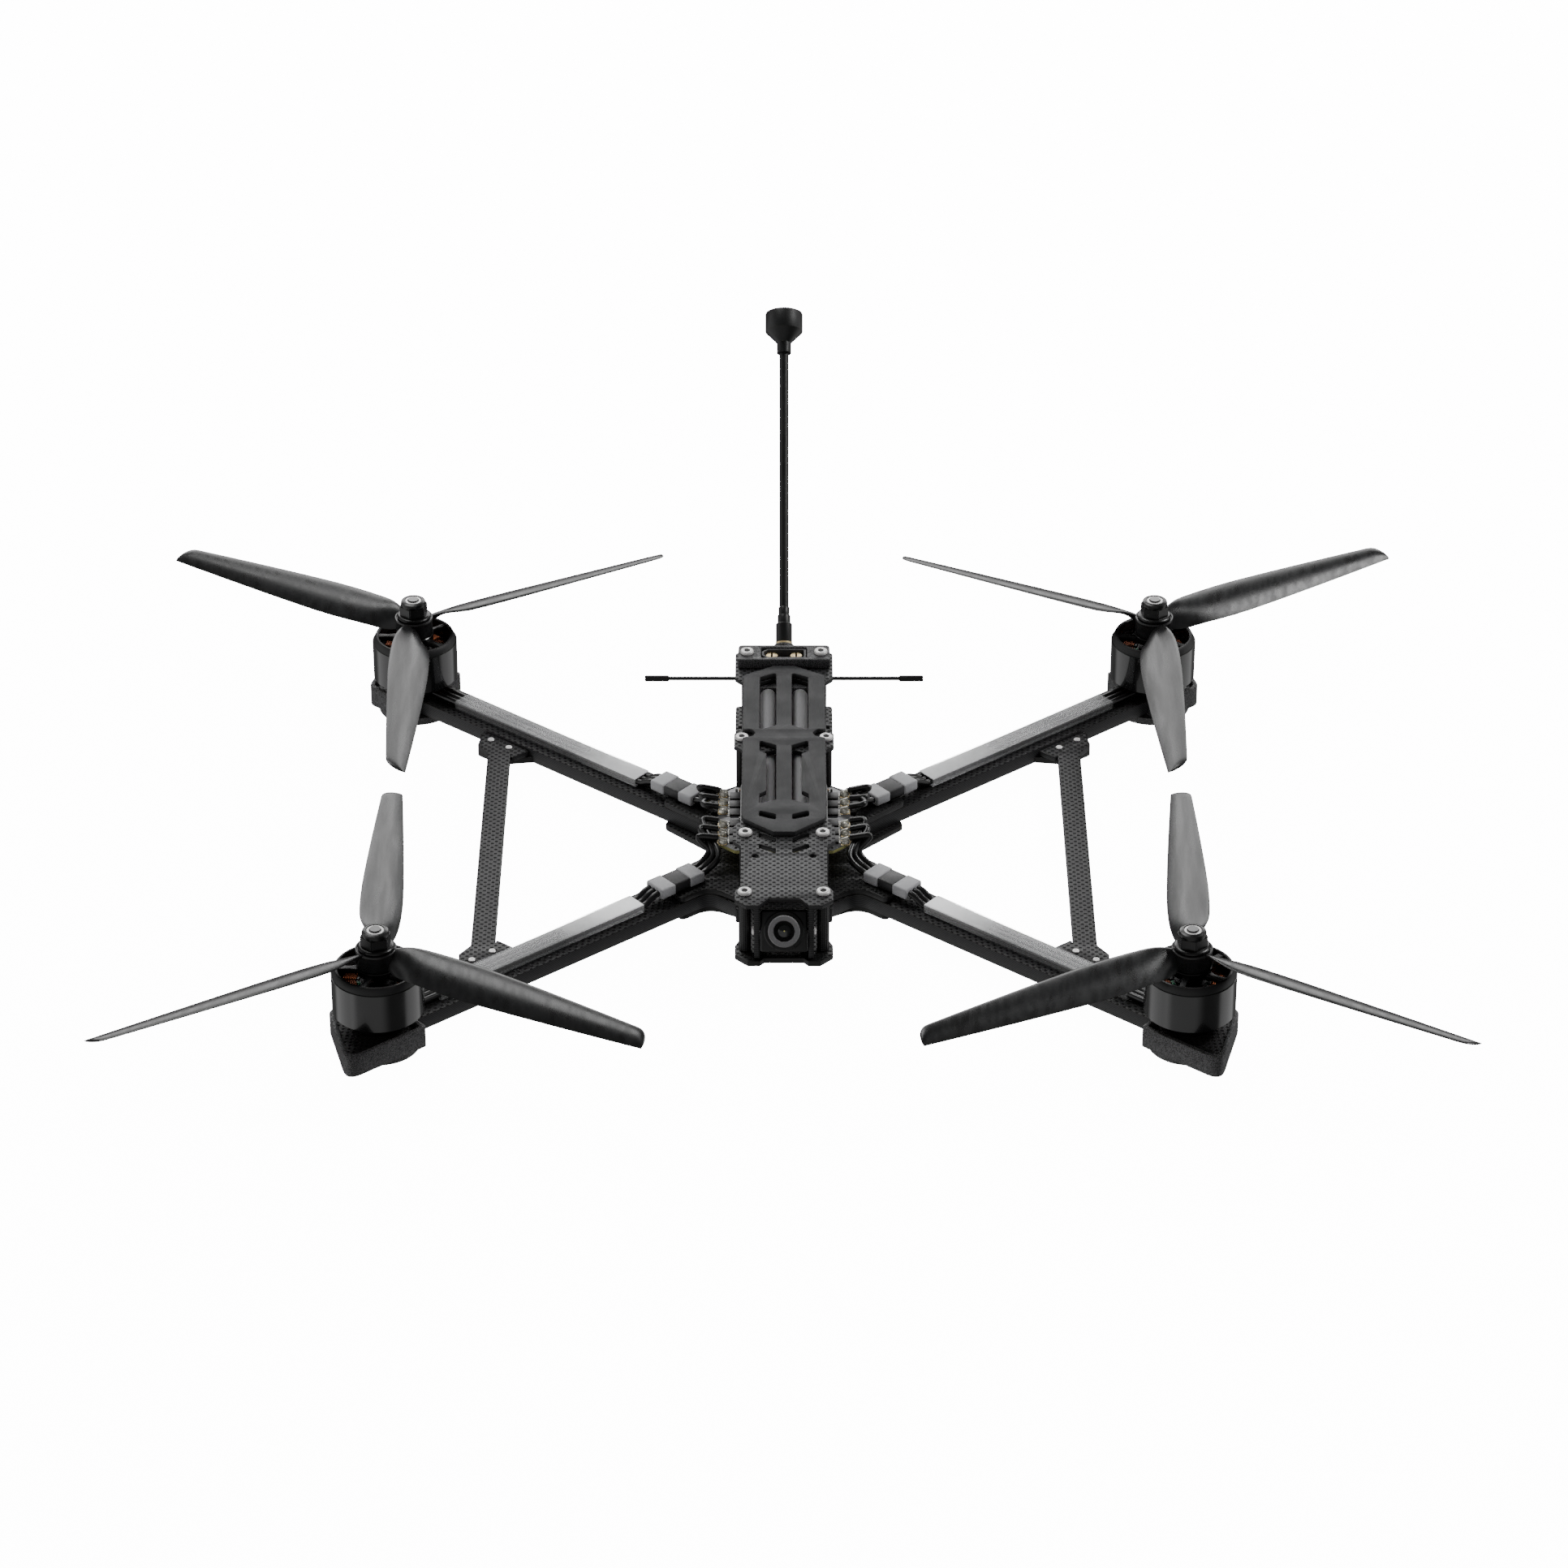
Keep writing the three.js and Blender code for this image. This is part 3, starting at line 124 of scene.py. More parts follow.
def add_studio():
    """Soft boxes on the sky at the left, right and front, and lamps behind, above and at the right."""
    world = bpy.data.worlds.new("studio")
    bpy.context.scene.world = world
    world.use_nodes = True
    world.node_tree.nodes.clear()
    g = Nodes(world.node_tree)
    coordinate = g.node("ShaderNodeTexCoord")
    x, y, z = g.split(coordinate.outputs["Generated"])
    side = g.math("ARCTAN2", x, g.times(y, -1.0))

    def window(value, low, high, soft):
        """1 between two values, 0 outside, with soft ends."""
        return g.times(g.ramp(value, low - soft, low), g.ramp(value, high + soft, high))

    level = window(z, -0.8, 0.45, 0.15)
    left = g.times(window(side, radians(-112), radians(-66), 0.35), left_box)
    right = g.times(window(side, radians(84), radians(124), 0.25), right_box)
    front = g.times(window(side, radians(-48), radians(8), 0.5), front_box)
    boxes = g.times(g.plus(g.plus(left, right), front), level)
    lit = g.node("ShaderNodeBackground")
    seen = g.node("ShaderNodeBackground")
    path = g.node("ShaderNodeLightPath")
    mix = g.node("ShaderNodeMixShader")
    output = g.node("ShaderNodeOutputWorld")
    lit.inputs["Color"].default_value = (1, 1, 1, 1)
    g.put(lit.inputs["Strength"], g.plus(boxes, sky_strength))
    seen.inputs["Color"].default_value = (1, 1, 1, 1)
    seen.inputs["Strength"].default_value = backdrop_strength
    g.put(mix.inputs["Fac"], path.outputs["Is Camera Ray"])
    g.put(mix.inputs[1], lit.outputs[0])
    g.put(mix.inputs[2], seen.outputs[0])
    g.put(output.inputs["Surface"], mix.outputs[0])
    add_area("back", (0, 1.9, 0.85), (0, 0, 0.05), (2.4, 0.9), 26)
    add_area("key", (1.3, 0.35, 1.3), (0, 0, 0), (0.5, 0.5), 12)
    add_area("overhead", (-0.55, 0.8, 1.65), (0, 0, 0), (0.8, 0.8), 12)


def add_floor():
    mesh = bpy.data.meshes.new("floor")
    reach = 6.0
    level = -0.3 * MM  # a hair below the feet, so that the two faces never share a plane
    corners = [(reach * x, reach * y, level) for x, y in ((-1, -1), (1, -1), (1, 1), (-1, 1))]
    mesh.from_pydata(corners, [], [(0, 1, 2, 3)])
    floor = bpy.data.objects.new("floor", mesh)
    bpy.context.scene.collection.objects.link(floor)
    g = Graph("floor_paint", (0.93, 0.93, 0.93), 0.9)
    g.feed("Base Color", g.blend(g.noise(0.05), grey(0.92), grey(0.94)))
    g.set("Emission Color", grey(1))
    g.set("Emission Strength", backdrop_strength)
    mesh.materials.append(g.material)
    floor.visible_diffuse = False
    floor.visible_glossy = False
    floor.visible_shadow = False


# ------------------------------------------------------------------------------- materials
class Nodes:
    """Short ways to add nodes to a tree."""

    def __init__(self, tree):
        self.tree = tree

    def node(self, kind):
        return self.tree.nodes.new(kind)

    def put(self, target, value):
        """Links a socket to an input, or sets the input to a plain value."""
        if isinstance(value, bpy.types.NodeSocket):
            self.tree.links.new(value, target)
        else:
            target.default_value = value

    def math(self, operation, a, b=0.0):
        node = self.node("ShaderNodeMath")
        node.operation = operation
        self.put(node.inputs[0], a)
        self.put(node.inputs[1], b)
        return node.outputs[0]

    def times(self, a, b):
        return self.math("MULTIPLY", a, b)

    def plus(self, a, b):
        return self.math("ADD", a, b)

    def minus(self, a, b):
        return self.math("SUBTRACT", a, b)

    def over(self, a, b):
        return self.math("DIVIDE", a, b)

    def size(self, a):
        return self.math("ABSOLUTE", a)

    def ramp(self, value, low, high, to_low=0.0, to_high=1.0):
        node = self.node("ShaderNodeMapRange")
        node.interpolation_type = "SMOOTHSTEP"
        for name, given in zip(
            ("Value", "From Min", "From Max", "To Min", "To Max"), (value, low, high, to_low, to_high)
        ):
            self.put(node.inputs[name], given)
        return node.outputs[0]

    def split(self, place):
        node = self.node("ShaderNodeSeparateXYZ")
        self.tree.links.new(place, node.inputs[0])
        return node.outputs[0], node.outputs[1], node.outputs[2]


class Graph(Nodes):
    """A Principled material and short ways to add nodes to it. Coordinates are in millimetres."""

    def __init__(self, name, colour, roughness, metallic=0.0, coat=0.0):
        self.material = bpy.data.materials.new(name)
        self.material.use_nodes = True
        super().__init__(self.material.node_tree)
        self.shader = self.tree.nodes["Principled BSDF"]
        self.set("Base Color", (*colour, 1))
        self.set("Roughness", roughness)
        self.set("Metallic", metallic)
        self.set("Coat Weight", coat)
        coordinate = self.node("ShaderNodeTexCoord")
        scale = self.node("ShaderNodeVectorMath")
        scale.operation = "SCALE"
        scale.inputs["Scale"].default_value = 1 / MM
        self.tree.links.new(coordinate.outputs["Object"], scale.inputs[0])
        self.place = scale.outputs[0]

    def set(self, name, value):
        self.shader.inputs[name].default_value = value

    def feed(self, name, socket):
        self.tree.links.new(socket, self.shader.inputs[name])

    def noise(self, scale, detail=3.0, stretch=None):
        node = self.node("ShaderNodeTexNoise")
        node.inputs["Scale"].default_value = scale
        node.inputs["Detail"].default_value = detail
        source = self.place
        if stretch:
            mapping = self.node("ShaderNodeMapping")
            mapping.inputs["Scale"].default_value = stretch
            self.tree.links.new(source, mapping.inputs["Vector"])
            source = mapping.outputs[0]
        self.tree.links.new(source, node.inputs["Vector"])
        return node.outputs["Fac"]

    def blend(self, factor, a, b):
        node = self.node("ShaderNodeMix")
        node.data_type = "RGBA"
        self.put(node.inputs[0], factor)
        self.put(node.inputs[6], a)
        self.put(node.inputs[7], b)
        return node.outputs[2]

    def bump(self, height, strength, depth=0.1):
        node = self.node("ShaderNodeBump")
        node.inputs["Strength"].default_value = strength
        node.inputs["Distance"].default_value = depth * MM
        self.tree.links.new(height, node.inputs["Height"])
        self.feed("Normal", node.outputs[0])

    def turned(self, angle):
        """The coordinates turned about Z."""
        node = self.node("ShaderNodeMapping")
        node.vector_type = "TEXTURE"
        node.inputs["Rotation"].default_value = (0, 0, angle)
        self.tree.links.new(self.place, node.inputs["Vector"])
        return node.outputs[0]

    def facing(self):
        """1 on faces that look up or down, 0 on upright ones."""
        normal = self.node("ShaderNodeNewGeometry").outputs["Normal"]
        return self.ramp(self.size(self.split(normal)[2]), 0.35, 0.8)


def tint(colour, share=1.0):
    return tuple(min(1.0, c * share) for c in colour[:3]) + (1,)


def grey(level, blue=1.0):
    """A neutral colour, or a slightly cold one, with full alpha."""
    return (level, level, level * blue, 1)


def carbon(name, angle, light, dark, edge, cell=1.65):
    """Plain-weave carbon laminate: woven faces and layered edges."""
    g = Graph(name, light, 0.42)
    g.set("Specular IOR Level", 0.3)
    x, y, z = g.split(g.turned(angle))
    u, v = g.over(x, cell), g.over(y, cell)
    parity = g.math("FLOORED_MODULO", g.plus(g.math("FLOOR", u), g.math("FLOOR", v)), 2)
    fu = g.minus(g.math("FRACT", u), 0.5)
    fv = g.minus(g.math("FRACT", v), 0.5)
    au, av = g.size(fu), g.size(fv)
    reach = g.math("MAXIMUM", g.over(au, 0.44), g.over(av, 0.36))
    dash = g.times(g.ramp(reach, 1.0, 0.75), parity)
    fibre = g.noise(1.0, 2.0, stretch=(3.0, 0.5, 1.0))
    woven = g.blend(dash, tint(light), tint(dark))
    seam = g.ramp(au, 0.38, 0.5)
    woven = g.blend(g.times(seam, 0.35), woven, tint(light, 1.7))
    woven = g.blend(g.ramp(fibre, 0.35, 0.75, 0.0, 0.28), woven, tint(dark))
    wander = g.noise(0.12, 2.0)
    layer = g.plus(g.over(z, 0.62), g.times(wander, 1.2))
    stripe = g.size(g.minus(g.math("FRACT", layer), 0.5))
    edge_colour = g.blend(g.ramp(stripe, 0.1, 0.42), (0.002, 0.002, 0.0021, 1), tint(edge))
    up = g.facing()
    g.feed("Base Color", g.blend(up, edge_colour, woven))
    over = g.math("COSINE", g.times(fu, pi))
    under = g.math("COSINE", g.times(fv, pi))
    tow = g.plus(g.times(over, g.minus(1.0, parity)), g.times(under, parity))
    height = g.plus(g.times(tow, up), g.times(stripe, g.minus(1.0, up)))
    g.bump(height, 0.35, 0.08)
    gloss = g.ramp(fibre, 0.3, 0.8, 0.4, 0.54)
    g.feed("Roughness", g.plus(gloss, g.times(g.times(dash, up), 0.45)))
    return g.material


def surface(
    name, colour, roughness, metallic=0.0, coat=0.0, grain=3.0, depth=0.02, strength=0.25, vary=0.12
):
    """A plain finish with fine grain: colour, gloss and height vary a little."""
    g = Graph(name, colour, roughness, metallic, coat)
    fine = g.noise(grain, 4.0)
    broad = g.noise(0.08, 2.0)
    mottled = g.blend(broad, tint(colour, 1 - vary), tint(colour, 1 + vary))
    g.feed("Base Color", g.blend(g.times(fine, vary), mottled, tint(colour, 0.6)))
    g.feed("Roughness", g.ramp(broad, 0.3, 0.7, max(0.03, roughness - 0.05), min(1, roughness + 0.06)))
    g.bump(fine, strength, depth)
    return g.material


def printed():
    """Printed flexible polymer: matte, with a coarse sparkle of grains."""
    g = Graph("printed_polymer", (0.01, 0.01, 0.0105), 0.72)
    speck = g.noise(2.6, 5.0)
    soft = g.noise(0.6, 2.0)
    grains = g.ramp(speck, 0.35, 0.7)
    g.feed("Base Color", g.blend(grains, (0.004, 0.004, 0.0042, 1), (0.12, 0.12, 0.124, 1)))
    g.feed("Roughness", g.ramp(soft, 0.3, 0.7, 0.45, 0.7))
    g.bump(speck, 0.55, 0.12)
    return g.material


def knurled():
    """Black anodised standoff with a fine crossed knurl."""
    g = Graph("knurled_black", (0.008, 0.008, 0.0085), 0.36)
    x, y, z = g.split(g.place)
    angle = g.math("ARCTAN2", y, x)
    turns = g.times(angle, 9.0)
    rise = g.times(z, 5.0)
    one = g.math("SINE", g.plus(turns, rise))
    two = g.math("SINE", g.minus(turns, rise))
    diamond = g.times(one, two)
    g.feed("Base Color", g.blend(g.ramp(diamond, -0.6, 0.6), grey(0.003), (0.02, 0.02, 0.021, 1)))
    g.bump(diamond, 0.6, 0.15)
    return g.material


def blade_plastic():
    """Glass-filled nylon: satin, dark grey, with faint flow streaks along the blade."""
    g = Graph("blade_nylon", (0.012, 0.012, 0.0125), 0.34)
    streak = g.noise(0.35, 4.0, stretch=(0.12, 1.0, 1.0))
    fine = g.noise(5.0, 3.0)
    g.feed("Base Color", g.blend(streak, (0.009, 0.009, 0.0095, 1), (0.016, 0.016, 0.0165, 1)))
    g.feed("Roughness", g.ramp(streak, 0.3, 0.7, 0.27, 0.36))
    g.bump(fine, 0.04, 0.01)
    return g.material


def winding():
    """Enamelled copper wound in turns that lie side by side."""
    g = Graph("copper_winding", (0.42, 0.12, 0.05), 0.3, metallic=0.85)
    x, y, _ = g.split(g.place)
    radius = g.math("SQRT", g.plus(g.times(x, x), g.times(y, y)))
    turns = g.size(g.math("SINE", g.times(radius, pi / 0.75)))
    mottle = g.noise(0.9, 2.0)
    copper = g.blend(mottle, (0.13, 0.03, 0.012, 1), (0.36, 0.11, 0.045, 1))
    g.feed("Base Color", g.blend(g.ramp(turns, 0.05, 0.5), (0.03, 0.008, 0.004, 1), copper))
    g.bump(turns, 0.8, 0.25)
    return g.material


def sleeve():
    """Thin clear sleeve with a painted highlight: whiter and less clear near the body and on faces that
    look up, clearer towards the motor.
    """
    g = Graph("clear_sleeve", (0.95, 0.96, 0.97), 0.2)
    g.set("IOR", 1.75)
    x, y, _ = g.split(g.place)
    distance = g.math("SQRT", g.plus(g.times(x, x), g.times(y, y)))
    # noise that makes the edge of the painted highlight wander
    highlight_edge_noise = g.noise(0.05, 3.0)
    # painted highlight: whiter and less clear near the body, fading out towards the motor
    painted_highlight = g.ramp(g.plus(distance, g.times(highlight_edge_noise, 30)), 92, 140, 1.0, 0.16)
    scratch = g.noise(0.8, 4.0)
    up = g.facing()
    # painted highlight: faces that look up are whiter than the upright sides
    share = g.times(painted_highlight, g.plus(0.22, g.times(up, 0.78)))
    g.feed("Alpha", g.plus(share, g.times(scratch, 0.06)))
    g.feed("Roughness", g.ramp(scratch, 0.3, 0.7, 0.16, 0.26))
    g.bump(scratch, 0.03, 0.01)
    return g.material


def board(name, colour):
    """Solder mask over faint traces."""
    g = Graph(name, colour, 0.38, coat=0.3)
    x = g.split(g.place)[0]
    track = g.size(g.math("SINE", g.times(g.plus(x, g.times(g.noise(0.3), 2.4)), 2.2)))
    patch = g.noise(0.35, 1.0)
    lines = g.times(g.ramp(track, 0.75, 0.95), g.ramp(patch, 0.45, 0.55))
    g.feed("Base Color", g.blend(g.times(lines, 0.6), tint(colour, 1.0), tint(colour, 1.9)))
    g.bump(lines, 0.3, 0.05)
    return g.material


carbon_top = carbon(
    "carbon_top", 0.0, (0.033, 0.0335, 0.035), (0.0008, 0.0008, 0.0009), (0.05, 0.05, 0.052)
)
carbon_mid = carbon(
    "carbon_mid", 0.0, (0.006, 0.006, 0.0065), (0.0008, 0.0008, 0.0008), (0.03, 0.03, 0.031)
)
carbon_brace = carbon(
    "carbon_brace", 0.0, (0.012, 0.012, 0.0127), (0.0008, 0.0008, 0.0009), (0.04, 0.04, 0.042)
)
carbon_side = carbon("carbon_side", 0.0, (0.03, 0.03, 0.031), (0.003, 0.003, 0.003), (0.05, 0.05, 0.052))
carbon_arm = {
    c: carbon(
        "carbon_arm_" + c,
        atan2(sy * half_base, sx * half_track),
        (0.016, 0.016, 0.0165), (0.0015, 0.0015, 0.0016), (0.05, 0.05, 0.052),
    )
    for c, (sx, sy) in CORNERS.items()
}
polymer = printed()
standoff_black = knurled()
blade_nylon = blade_plastic()
copper = winding()
clear = sleeve()
mask_dark = board("solder_mask", (0.05, 0.051, 0.054))
mask_black = board("solder_mask_black", (0.008, 0.008, 0.009))
gloss_black = surface(
    "anodised_black", (0.006, 0.006, 0.0065), 0.2, coat=0.6, grain=6, depth=0.01, strength=0.1
)
rim_black = surface("anodised_matte", (0.004, 0.004, 0.0045), 0.5, grain=6, strength=0.15)
nut_black = surface("black_oxide", (0.003, 0.003, 0.003), 0.3, grain=5, strength=0.12)
core_black = surface("core_coating", (0.004, 0.004, 0.004), 0.4, grain=3, depth=0.05)
magnet_grey = surface("magnet_plating", (0.10, 0.10, 0.105), 0.35, metallic=0.9, grain=4)
steel = surface(
    "bright_steel", (0.86, 0.85, 0.84), 0.34, metallic=0.35, grain=7, depth=0.01, strength=0.15, vary=0.06
)
# painted shade: near-black for the hollows of screw and nut sockets
socket_shade = surface("painted_socket_shade", (0.004, 0.004, 0.004), 0.7, grain=2)
solder = surface(
    "solder", (0.95, 0.92, 0.82), 0.2, metallic=0.5, grain=1.2, depth=0.12, strength=0.5, vary=0.1
)
gold = surface("gilt_pad", (0.86, 0.68, 0.36), 0.3, metallic=0.5, grain=4, vary=0.08)
board_edge = surface("laminate_edge", (0.46, 0.45, 0.17), 0.6, grain=4, vary=0.18)
chip = surface("chip_black", (0.004, 0.004, 0.0045), 0.45, grain=6, strength=0.2)
chip_tan = surface("ceramic_tan", (0.30, 0.19, 0.10), 0.5, grain=6)
mark_white = surface("print_white", (0.75, 0.75, 0.73), 0.6, grain=5)
port_steel = surface("port_steel", (0.55, 0.55, 0.56), 0.28, metallic=0.9, grain=6, vary=0.08)
jacket = surface(
    "wire_silicone", (0.006, 0.006, 0.0065), 0.3, coat=0.15, grain=4, depth=0.03, strength=0.15
)
lead_jacket = surface("lead_silicone", (0.36, 0.363, 0.37), 0.75, grain=2, depth=0.03, strength=0.2)
plug_grey = surface("plug_grey", (0.50, 0.505, 0.52), 0.6, grain=5, depth=0.05, strength=0.4)
plug_black = surface("plug_black", (0.028, 0.028, 0.03), 0.5, grain=4, depth=0.05, strength=0.35)
pad_rubber = surface(
    "pad_rubber", (0.028, 0.0285, 0.030), 0.7, grain=4, depth=0.04, strength=0.3, vary=0.08
)
antenna_black = surface("antenna_black", (0.003, 0.003, 0.0032), 0.42, grain=3)
sink_black = surface("heat_sink", (0.006, 0.006, 0.0065), 0.4, grain=5)
case_black = surface("camera_case", (0.003, 0.003, 0.0033), 0.45, grain=5)
ring_grey = surface("lens_ring", (0.21, 0.21, 0.215), 0.6, grain=6)
lens_glass = surface(
    "lens_glass", (0.006, 0.007, 0.008), 0.05, coat=0.8, grain=1, depth=0.001, strength=0.02
)
lens_glint = surface("lens_glint", (0.75, 0.72, 0.28), 0.2, metallic=0.6, grain=3)
resin_green = surface("resin_green", (0.04, 0.50, 0.22), 0.4, grain=3)


# ------------------------------------------------------------------------------- shapes
def rounded(points, radius=0.0, steps=6):
    """A closed outline with curved corners. A point may carry its own radius."""
    loop = []
    count = len(points)
    for i, point in enumerate(points):
        here = Vector(point[:2])
        own = point[2] if len(point) > 2 else radius
        before = Vector(points[i - 1][:2]) - here
        after = Vector(points[(i + 1) % count][:2]) - here
        turn = before.angle(after, pi)
        trim = min(own / tan(turn / 2), 0.45 * before.length, 0.45 * after.length) if own else 0
        if trim < 0.05:
            loop.append((here.x, here.y))
            continue
        start = here + before.normalized() * trim
        end = here + after.normalized() * trim
        for k in range(steps + 1):
            t = k / steps
            spot = start * (1 - t) ** 2 + here * 2 * t * (1 - t) + end * t**2
            loop.append((spot.x, spot.y))
    return loop


def circle(x, y, radius, steps=28):
    turn = 2 * pi / steps
    return [(x + radius * cos(i * turn), y + radius * sin(i * turn)) for i in range(steps)]


def mirrored(half):
    """Half an outline and its mirror image across the middle plane."""
    return list(half) + [(-p[0], *p[1:]) for p in reversed(half)]


def flipped(points, sx, sy=1):
    turned = [(sx * p[0], sy * p[1], *p[2:]) for p in points]
    return turned if sx * sy > 0 else turned[::-1]


def across(s, t):
    """A point along (s) and across (t) an arm, as sideways and fore-and-aft distances."""
    return (
        s * cos(arm_angle) - t * sin(arm_angle),
        s * sin(arm_angle) + t * cos(arm_angle),
    )


def on_arm(corner, s, t, z):
    sx, sy = CORNERS[corner]
    x, y = across(s, t)
    return Vector((sx * x, sy * y, z))


def plate(loops, z0, z1, bevel=0.2):
    """A flat part between two levels: the first loop is its outline, the others are holes."""
    curve = bpy.data.curves.new("outline", "CURVE")
    curve.dimensions = "2D"
    curve.fill_mode = "BOTH"
    for loop in loops:
        spline = curve.splines.new("POLY")
        spline.points.add(len(loop) - 1)
        for point, (x, y) in zip(spline.points, loop):
            point.co = (x, y, 0, 1)
        spline.use_cyclic_u = True
    curve.extrude = (z1 - z0) / 2 - bevel
    curve.bevel_depth = bevel
    curve.bevel_resolution = 1
    curve.offset = -bevel
    holder = bpy.data.objects.new("outline", curve)
    bpy.context.scene.collection.objects.link(holder)
    bpy.context.view_layer.update()
    mesh = bpy.data.meshes.new_from_object(holder.evaluated_get(bpy.context.evaluated_depsgraph_get()))
    work = bmesh.new()
    work.from_mesh(mesh)
    bmesh.ops.remove_doubles(work, verts=work.verts, dist=0.001)
    bmesh.ops.recalc_face_normals(work, faces=work.faces)
    middle = (z0 + z1) / 2
    shape = shape_of(work, Matrix.Translation((0, 0, middle)))
    bpy.data.objects.remove(holder)
    bpy.data.curves.remove(curve)
    bpy.data.meshes.remove(mesh)
    return shape


def shape_of(work, matrix=None):
    """Vertices and faces of a bmesh, which is freed."""
    if matrix:
        bmesh.ops.transform(work, matrix=matrix, verts=work.verts)
    work.verts.index_update()
    verts = [tuple(v.co) for v in work.verts]
    faces = [tuple(v.index for v in f.verts) for f in work.faces]
    work.free()
    return verts, faces


def block(x0, x1, y0, y1, z0, z1, bevel=0.2, segments=2):
    """A box with rounded edges."""
    work = bmesh.new()
    bmesh.ops.create_cube(work, size=1)
    size = Matrix.Diagonal((x1 - x0, y1 - y0, z1 - z0, 1))
    middle = Matrix.Translation(((x0 + x1) / 2, (y0 + y1) / 2, (z0 + z1) / 2))
    bmesh.ops.transform(work, matrix=middle @ size, verts=work.verts)
    limit = 0.45 * min(x1 - x0, y1 - y0, z1 - z0)
    bmesh.ops.bevel(
        work, geom=work.edges[:], offset=min(bevel, limit), segments=segments, profile=0.5, affect="EDGES"
    )
    return shape_of(work)


def patch(x, y, half_x, half_y, z0, z1, bevel=0.06):
    """A block between two levels, given by its middle and its half sizes."""
    return block(x - half_x, x + half_x, y - half_y, y + half_y, z0, z1, bevel)


def lathe(profile, steps=48):
    """A body of revolution about Z from (radius, z) points that start and end on the axis, or close."""
    closed = profile[0][0] > 1e-6
    verts, rings, faces = [], [], []
    for radius, z in profile:
        if radius < 1e-6:
            rings.append([len(verts)])
            verts.append((0, 0, z))
            continue
        rings.append(list(range(len(verts), len(verts) + steps)))
        for i in range(steps):
            angle = 2 * pi * i / steps
            verts.append((radius * cos(angle), radius * sin(angle), z))
    pairs = list(zip(rings, rings[1:]))
    if closed:
        pairs.append((rings[-1], rings[0]))
    for low, high in pairs:
        for i in range(steps):
            j = (i + 1) % steps
            if len(low) == 1:
                faces.append((low[0], high[j], high[i]))
            elif len(high) == 1:
                faces.append((low[i], low[j], high[0]))
            else:
                faces.append((low[i], low[j], high[j], high[i]))
    return verts, faces


def lifted(profile, z):
    """Profile points whose heights are counted from a level."""
    return [(radius, z + height) for radius, height in profile]


def share_turn(i, count):
    """One of a number of equal turns about Z."""
    return Matrix.Rotation(2 * pi * i / count, 4, "Z")


def smooth_path(points, steps):
    """Points along a centripetal Catmull-Rom curve through the given ones."""
    points = [Vector(p) for p in points]
    padded = [2 * points[0] - points[1], *points, 2 * points[-1] - points[-2]]
    path = []
    for i in range(1, len(padded) - 2):
        p0, p1, p2, p3 = padded[i - 1 : i + 3]
        t0 = 0.0
        t1 = t0 + (p1 - p0).length ** 0.5
        t2 = t1 + (p2 - p1).length ** 0.5
        t3 = t2 + (p3 - p2).length ** 0.5
        for k in range(steps):
            t = t1 + (t2 - t1) * k / steps
            a1 = p0 * ((t1 - t) / (t1 - t0)) + p1 * ((t - t0) / (t1 - t0))
            a2 = p1 * ((t2 - t) / (t2 - t1)) + p2 * ((t - t1) / (t2 - t1))
            a3 = p2 * ((t3 - t) / (t3 - t2)) + p3 * ((t - t2) / (t3 - t2))
            b1 = a1 * ((t2 - t) / (t2 - t0)) + a2 * ((t - t0) / (t2 - t0))
            b2 = a2 * ((t3 - t) / (t3 - t1)) + a3 * ((t - t1) / (t3 - t1))
            path.append(b1 * ((t2 - t) / (t2 - t1)) + b2 * ((t - t1) / (t2 - t1)))
    path.append(points[-1])
    return path


def tube(points, radius, sides=14, steps=6):
    """A round bar along a smooth curve, closed at both ends."""
    path = smooth_path(points, steps)
    count = len(path)
    tangents = [(path[min(i + 1, count - 1)] - path[max(i - 1, 0)]).normalized() for i in range(count)]
    side = tangents[0].orthogonal().normalized()
    verts, faces = [], []
    for i, spot in enumerate(path):
        side = (side - tangents[i] * side.dot(tangents[i])).normalized()
        other = tangents[i].cross(side)
        for k in range(sides):
            angle = 2 * pi * k / sides
            verts.append(tuple(spot + (side * cos(angle) + other * sin(angle)) * radius))
    for i in range(count - 1):
        for k in range(sides):
            a, b = i * sides + k, i * sides + (k + 1) % sides
            faces.append((a, b, b + sides, a + sides))
    faces.append(tuple(reversed(range(sides))))
    faces.append(tuple(range((count - 1) * sides, count * sides)))
    return verts, faces


def drop(x, y, z, radius, height, seed):
    """An uneven solder drop that stands on level z."""
    work = bmesh.new()
    bmesh.ops.create_icosphere(work, subdivisions=3, radius=1)
    luck = random.Random(seed)
    lumps = []
    for _ in range(5):
        way = Vector((luck.uniform(-1, 1), luck.uniform(-1, 1), luck.uniform(0, 1))).normalized()
        lumps.append((way, luck.uniform(-0.1, 0.16)))
    for vert in work.verts:
        swell = 1 + sum(size * max(0, vert.co.dot(way)) ** 3 for way, size in lumps)
        up = max(vert.co.z, -0.15)
        wide = radius * swell
        vert.co = Vector((x + vert.co.x * wide, y + vert.co.y * wide, z + up * height * swell))
    return shape_of(work)


def moved(shape, matrix):
    verts, faces = shape
    return [tuple(matrix @ Vector(v)) for v in verts], faces


def shifted(shape, x, y, z=0.0):
    return moved(shape, Matrix.Translation((x, y, z)))


